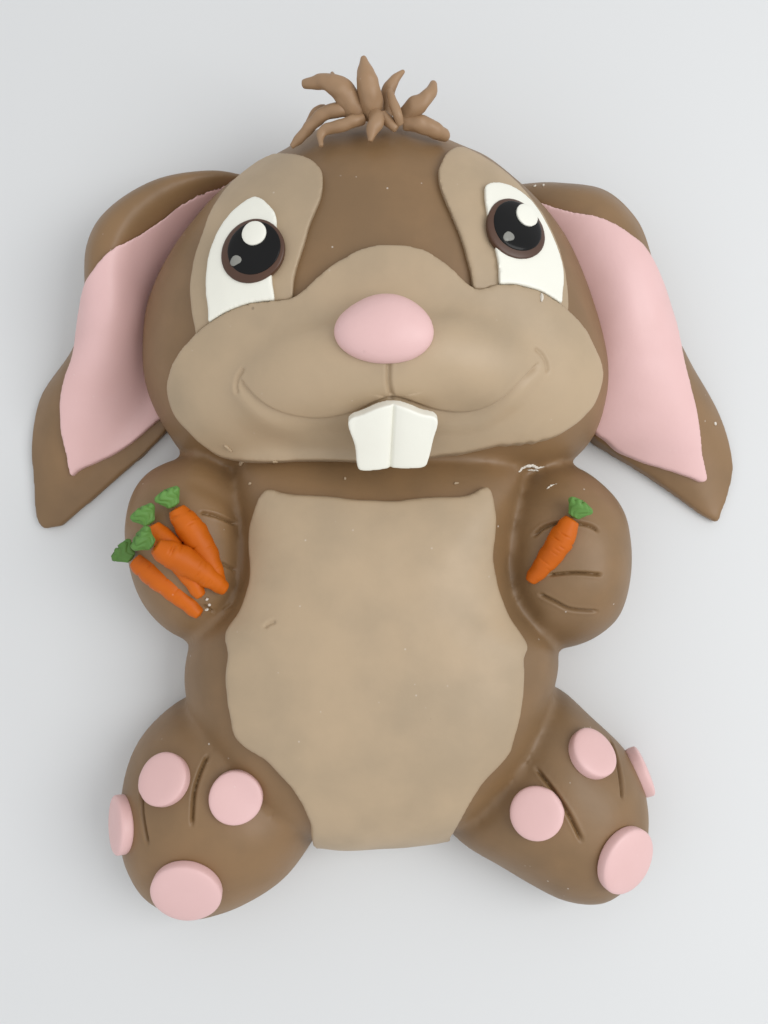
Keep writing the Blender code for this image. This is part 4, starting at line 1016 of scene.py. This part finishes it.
class CAKE_OT_belly(Operator):
    """Lay the tan panel over the belly"""

    bl_idname = "rabbit_cake.belly"
    bl_label = "Lay the belly panel"

    def execute(self, context):
        sizes = context.scene.rabbit_sizes
        skin = draped("belly_skin", sizes.belly_sheet / MM, OUTER_GRAIN)
        inner = draped("belly_inner", INNER_DEPTH, INNER_GRAIN)
        belly = cut_sheet("belly_sheet", BELLY_OUTLINE, skin, inner, LOW_START, BELLY_GRAIN, 4,
                          wander=BELLY_WANDER)
        throw_away(skin, inner)
        refine_near(belly, [dent[0] for dent in BELLY_DENT], 3.0, 2)
        press_creases(belly, BELLY_DENT)
        finish(belly, "tan_paste", "tan_fondant", ["belly_panel"])
        return {"FINISHED"}


def ear_form(name, side, stations, stand_out):
    """A lop ear: a grid bent into an arch from station to station, and closed down to the surface."""
    rows = smooth_line(stations, 16, False)
    edge = bpy.context.scene.rabbit_sizes.ear_edge / MM
    bpy.ops.mesh.primitive_grid_add(x_subdivisions=150, y_subdivisions=72, size=1.0, location=(0, 0, 0))
    obj = bpy.context.object
    obj.name = name
    x, y, _ = spots_of(obj).T
    at = (x + 0.5) * (len(rows) - 1)
    row = np.stack([np.interp(at, np.arange(len(rows)), rows[:, k]) for k in range(6)], 1)
    part = np.clip(y + 0.5, 0, 1)
    square = np.clip(row[:, 5], 0, 1)
    crest, head_side, valley, hollow = EAR_PROFILES[side]
    climb = np.clip((part / crest - valley) / (1 - valley), 0, 1)
    near = head_side + (1 - head_side) * np.sin(0.5 * math.pi * climb) ** hollow
    out = np.clip((part - crest) / (1 - crest), 0, 1)
    far = (1 - out ** (EAR_FALL[0] + EAR_FALL[1] * square)) ** (EAR_ROUND[0] + EAR_ROUND[1] * square)
    lift = np.where(part < crest, near, far)
    lip_at, lip_width, lip_height, lip_end = EAR_LIPS[side]
    lip = np.exp(-((part - lip_at) / lip_width) ** 2) * np.clip((lip_end - x - 0.5) * 8, 0, 1)
    height = edge + (row[:, 4] - edge) * lift + lip_height * lip
    spots = np.stack([row[:, 0] * (1 - part) + row[:, 2] * part,
                      row[:, 1] * (1 - part) + row[:, 3] * part, height], 1)
    move_to(obj, [place(*spot) for spot in spots])
    if stand_out:
        normals = normals_of(obj)
        move_to(obj, spots_of(obj) + normals * np.sign(normals[:, 2:3].mean()) * stand_out * MM)
    edit_all(obj)
    bpy.ops.mesh.extrude_region_move(TRANSFORM_OT_translate={"value": (0, 0, -EAR_DROP)})
    bpy.ops.object.mode_set(mode="OBJECT")
    spots = spots_of(obj)
    spots[spots[:, 2] < -0.2 * EAR_DROP, 2] = 0.0
    move_to(obj, spots)
    edit_all(obj)
    face_outwards()
    return obj


class CAKE_OT_ears(Operator):
    """Model the lop ears and their pink linings"""

    bl_idname = "rabbit_cake.ears"
    bl_label = "Model the ears"

    def execute(self, context):
        sizes = context.scene.rabbit_sizes
        for side, stations, lining_line in (("l", EAR_L_STATIONS, LINING_L),
                                            ("r", EAR_R_STATIONS, LINING_R)):
            ear = ear_form("ear_flap_" + side, side, stations, 0.0)
            fuse(ear, EAR_GRAIN, 4)
            uneven(ear, 0.25, 18.0, 3)
            flatten_below(ear)
            skin = ear_form("ear_skin", side, stations, sizes.ear_lining / MM)
            inner = ear_form("ear_inner", side, stations, INNER_DEPTH)
            lining = cut_sheet("ear_pink_" + side, lining_line, skin, inner, LOW_START, PATCH_GRAIN, 4)
            throw_away(skin, inner)
            finish(ear, "brown_paste", "brown_fondant", ["ear_" + side])
            finish(lining, "pink_paste", "pink_fondant", ["ear_lining_" + side])
        return {"FINISHED"}


class CAKE_OT_pads(Operator):
    """Press the pink pads on the feet"""

    bl_idname = "rabbit_cake.pads"
    bl_label = "Press the pads"

    def execute(self, context):
        body = tree_of("draped_body")
        for name, near, radius in PADS:
            if len(near) == 2:
                spot, facing = rest_on(body, *near, radius * PAD_REST)
            else:
                spot, facing, _, _ = body.find_nearest(Vector(place(*near)))
            pad = pressed_disc("pad_disc_" + name, body, spot, facing, (radius, radius), PAD_LEVELS, 4.5,
                               hug=0.3, wobble=0.01)
            finish(pad, "pink_paste", "pink_fondant", ["pad_" + name])
        return {"FINISHED"}


def along(obj, start, end):
    """Lay a piece that was shaped along +Z from 0 to 1 metre between two points."""
    axis = Vector(end) - Vector(start)
    turn = axis.to_track_quat("Z", "Y").to_matrix().to_4x4()
    obj.data.transform(Matrix.Translation(start) @ turn)


class CAKE_OT_carrots(Operator):
    """Roll the marzipan carrots and shape their crowns"""

    bl_idname = "rabbit_cake.carrots"
    bl_label = "Roll the carrots"

    def execute(self, context):
        body = tree_of("draped_body")
        chance = np.random.default_rng(7)
        for name, crown, tip, radius, lift in CARROTS:
            floor_crown = look_down([body], *crown)[0].z / MM
            floor_tip = look_down([body], *tip)[0].z / MM
            start = Vector(place(*crown, floor_crown + radius - CARROT_SINK + lift))
            end = Vector(place(*tip, floor_tip + CARROT_TIP_REST * radius + 0.5 * lift))
            length = (end - start).length
            carrot = ball("marzipan_carrot_" + name, 64, 120)
            x, y, z = spots_of(carrot).T
            share = np.arccos(np.clip(z, -1, 1)) / math.pi
            turn = np.arctan2(y, x)
            girth = np.interp(share, np.linspace(0.04, 0.97, len(CARROT_GIRTH)), CARROT_GIRTH,
                              left=0.0, right=0.0)
            rounded = np.clip(np.minimum(share, 1 - share) * 22, 0, 1) ** 0.5
            girth = radius * MM * girth * rounded
            for _ in range(CARROT_MARKS):
                ring = chance.uniform(0.10, 0.86)
                bearing = chance.uniform(-math.pi, math.pi)
                spread = chance.uniform(0.3, 0.75)
                away = np.abs((turn - bearing + math.pi) % (2 * math.pi) - math.pi)
                mark = np.exp(-((share - ring) / 0.009) ** 2) * np.clip(1 - (away / spread) ** 2, 0, 1)
                girth = girth - 0.10 * radius * MM * mark * (1.1 - share)
            wave = 0.028 * radius * MM * (np.sin(share * 23 + turn * 2 + lift)
                                          + 0.7 * np.sin(share * 41 - turn))
            bend = 0.25 * radius * MM * np.sin(share * math.pi)
            move_to(carrot, np.stack([np.cos(turn) * (girth + wave * rounded) + bend, np.sin(turn) * girth,
                                      share * length], 1))
            along(carrot, start, end)
            finish(carrot, "carrot_paste", "orange_marzipan", ["carrot_" + name])
            leaves = ball("carrot_crown_" + name, 90, 64)
            x, y, z = spots_of(leaves).T
            share = 1 - np.arccos(np.clip(z, -1, 1)) / math.pi
            turn = np.arctan2(y, x)
            ruffle = chance.uniform(0, 6.28)
            wide = np.interp(share, np.linspace(0, 1, len(LEAF_GIRTH)), LEAF_GIRTH)
            wide = wide * np.clip(np.minimum(share, 1 - share) * 14, 0, 1) ** 0.5
            fold = 0.5 + 0.5 * np.sin(8 * turn + 2.6 * np.sin(share * 7.5 + ruffle) + ruffle)
            wide = wide * (0.9 + 0.14 * fold ** 0.7)
            top = (LEAF_HEIGHT - 1.2) * share + 0.8 * (fold - 0.5) * np.clip((share - 0.7) * 4, 0, 1)
            top -= 1.1 * (np.cos(turn) ** 2) * np.clip(share - 0.55, 0, 1)
            move_to(leaves, np.stack([np.cos(turn) * wide, np.sin(turn) * wide * LEAF_FLATNESS, top], 1) * MM)
            back = (start - end).normalized()
            along(leaves, start - back * 0.6 * MM, start + back * MM)
            finish(leaves, "leaf_paste", "green_marzipan", ["carrot_%s_leaves" % name], 80.0)
        return {"FINISHED"}


def rolled(name, points, sides=20, grain=HAIR_GRAIN):
    """A strand rolled by hand: a round taper along a smooth line."""
    line = smooth_line(points, 8, False)
    only(bpy.data.objects["draped_body"])
    bpy.ops.curve.primitive_nurbs_path_add(location=(0, 0, 0))
    guide = bpy.context.object
    guide.name = name
    curve = guide.data
    curve.splines.clear()
    spline = curve.splines.new("POLY")
    spline.points.add(len(line) - 1)
    for point, (x, y, z, radius) in zip(spline.points, line):
        point.co = (*place(x, y, z), 1.0)
        point.radius = max(radius, 0.1) * MM
    curve.dimensions = "3D"
    curve.bevel_depth = 1.0
    curve.bevel_resolution = sides // 2 - 2
    curve.use_fill_caps = True
    bpy.ops.object.convert(target="MESH")
    obj = bpy.context.object
    edit_all(obj)
    bpy.ops.mesh.remove_doubles(threshold=0.00002)
    face_outwards()
    fuse(obj, grain, 5)
    return obj


class CAKE_OT_hair(Operator):
    """Roll the strands of the tuft"""

    bl_idname = "rabbit_cake.hair"
    bl_label = "Roll the hair"

    def execute(self, context):
        for node_name, points in STRANDS:
            strand = rolled(node_name.replace("hair", "strand"), points)
            uneven(strand, 0.4, 3.4, len(points))
            finish(strand, "hair_paste", "hair_fondant", [node_name])
        return {"FINISHED"}


class CAKE_OT_scraps(Operator):
    """Add the crumbs of fondant and the smears of icing sugar that the work left"""

    bl_idname = "rabbit_cake.scraps"
    bl_label = "Add the scraps"

    def execute(self, context):
        trees = [tree_of(name) for name in ("draped_body", "muzzle_sheet", "patch_sheet_r", "ear_flap_r")]
        number = 0
        for places, material in ((TAN_SCRAPS, "tan_paste"), (WHITE_SCRAPS, "icing_sugar")):
            for spot, radii, height, turn in places:
                number += 1
                hits = [(look_down([tree], *spot), tree) for tree in trees]
                hit, tree = min((pair for pair in hits if pair[0]), key=lambda pair: pair[0][2])
                scrap = pressed_disc("scrap_%d" % number, tree, hit[0], hit[1], radii,
                                     (*SCRAP_BED, height), 2.2, wobble=0.12, segments=24, rings=12, turn=turn)
                uneven(scrap, 0.25, 0.8, number)
                finish(scrap, material, "white_fondant" if material == "icing_sugar" else "tan_fondant", [])
        for name, points, radii in SUGAR_SMEARS:
            line = [(x, y, look_down(trees, x, y)[0].z / MM) for x, y in points]
            smear = rolled("sugar_smear_" + name, [(*spot, radius) for spot, radius in zip(line, radii)],
                           sides=10, grain=SMEAR_GRAIN)
            uneven(smear, 0.5, 0.9, 5)
            finish(smear, "icing_sugar", "white_fondant", [])
        return {"FINISHED"}


# The stage: tints, lights as name, place, watts, size and whether gloss shows them, and the camera's
# place, its turns about Z, Y and X in degrees, and its lens.
FLOOR_TINT = (0.68, 0.69, 0.69, 1)
SKY_TINT = (0.97, 0.98, 1.0, 1)
SKY_STRENGTH = 0.78
LIGHTS = (("key_light", (0.60, 0.0, 0.80), 4.5, 0.6, True),
          ("fill_light", (-0.60, -0.40, 0.75), 0.9, 1.0, False))
CAMERA_PLACE = (-0.0112, -0.0418 - FOOTPRINT_MIDDLE[1] * MM, 0.384)
CAMERA_TURNS = (1.76, -1.79, 3.31)
CAMERA_LENS = 31.64


class CAKE_OT_stage(Operator):
    """Set the floor, the lights and the camera"""

    bl_idname = "rabbit_cake.stage"
    bl_label = "Set the stage"

    def execute(self, context):
        bpy.ops.object.select_all(action="DESELECT")
        bpy.ops.mesh.primitive_plane_add(size=4.0, location=(0, 0, -0.0002))
        floor = bpy.context.object
        floor.name = "floor"
        paper = bpy.data.materials.new("pale_floor")
        paper.use_nodes = True
        matt = paper.node_tree.nodes["Principled BSDF"]
        matt.inputs["Base Color"].default_value = FLOOR_TINT
        matt.inputs["Roughness"].default_value = 0.8
        floor.data.materials.append(paper)
        for name, spot, watts, size, seen in LIGHTS:
            bpy.ops.object.light_add(type="AREA", location=spot)
            light = bpy.context.object
            light.name = name
            light.data.energy = watts
            light.data.size = size
            light.rotation_euler = (-Vector(spot)).to_track_quat("-Z", "Y").to_euler()
            light.visible_glossy = seen
        world = bpy.data.worlds.new("studio")
        world.use_nodes = True
        sky = world.node_tree.nodes["Background"]
        sky.inputs["Color"].default_value = SKY_TINT
        sky.inputs["Strength"].default_value = SKY_STRENGTH
        context.scene.world = world
        context.scene.view_settings.view_transform = "Standard"
        roll, lean, tip = (Matrix.Rotation(math.radians(turn), 4, axis)
                           for turn, axis in zip(CAMERA_TURNS, "ZYX"))
        bpy.ops.object.camera_add()
        camera = bpy.context.object
        camera.name = "view_from_above"
        camera.matrix_world = Matrix.Translation(CAMERA_PLACE) @ (roll @ lean @ tip)
        camera.data.lens = CAMERA_LENS
        camera.data.sensor_width = 36.0
        camera.data.clip_start = 0.01
        context.scene.camera = camera
        return {"FINISHED"}


STEPS = ("finishes", "body", "muzzle", "nose", "mouth", "eye_patches", "eyes", "teeth", "belly", "ears",
         "pads", "carrots", "hair", "scraps", "stage")


class CAKE_PT_panel(Panel):
    """Lists the steps and the sizes and colours that they use"""

    bl_idname = "CAKE_PT_panel"
    bl_label = "Rabbit cake"
    bl_space_type = "VIEW_3D"
    bl_region_type = "UI"
    bl_category = "Rabbit cake"

    def draw(self, context):
        layout = self.layout
        for step in STEPS:
            layout.operator("rabbit_cake." + step)
        for group in (context.scene.rabbit_sizes, context.scene.rabbit_colours):
            box = layout.box()
            for name in type(group).__annotations__:
                box.prop(group, name)


CLASSES = (RabbitSizes, RabbitColours, CAKE_OT_finishes, CAKE_OT_body, CAKE_OT_muzzle, CAKE_OT_nose,
           CAKE_OT_mouth, CAKE_OT_eye_patches, CAKE_OT_eyes, CAKE_OT_teeth, CAKE_OT_belly, CAKE_OT_ears,
           CAKE_OT_pads, CAKE_OT_carrots, CAKE_OT_hair, CAKE_OT_scraps, CAKE_OT_stage, CAKE_PT_panel)


def register():
    """Add the classes and the settings to Blender."""
    for cls in CLASSES:
        bpy.utils.register_class(cls)
    bpy.types.Scene.rabbit_sizes = PointerProperty(type=RabbitSizes)
    bpy.types.Scene.rabbit_colours = PointerProperty(type=RabbitColours)


def unregister():
    """Take them out again."""
    del bpy.types.Scene.rabbit_colours
    del bpy.types.Scene.rabbit_sizes
    for cls in reversed(CLASSES):
        bpy.utils.unregister_class(cls)


def main():
    """Make every piece in order."""
    register()
    for step in STEPS:
        getattr(bpy.ops.rabbit_cake, step)()


if __name__ == "__main__":
    main()
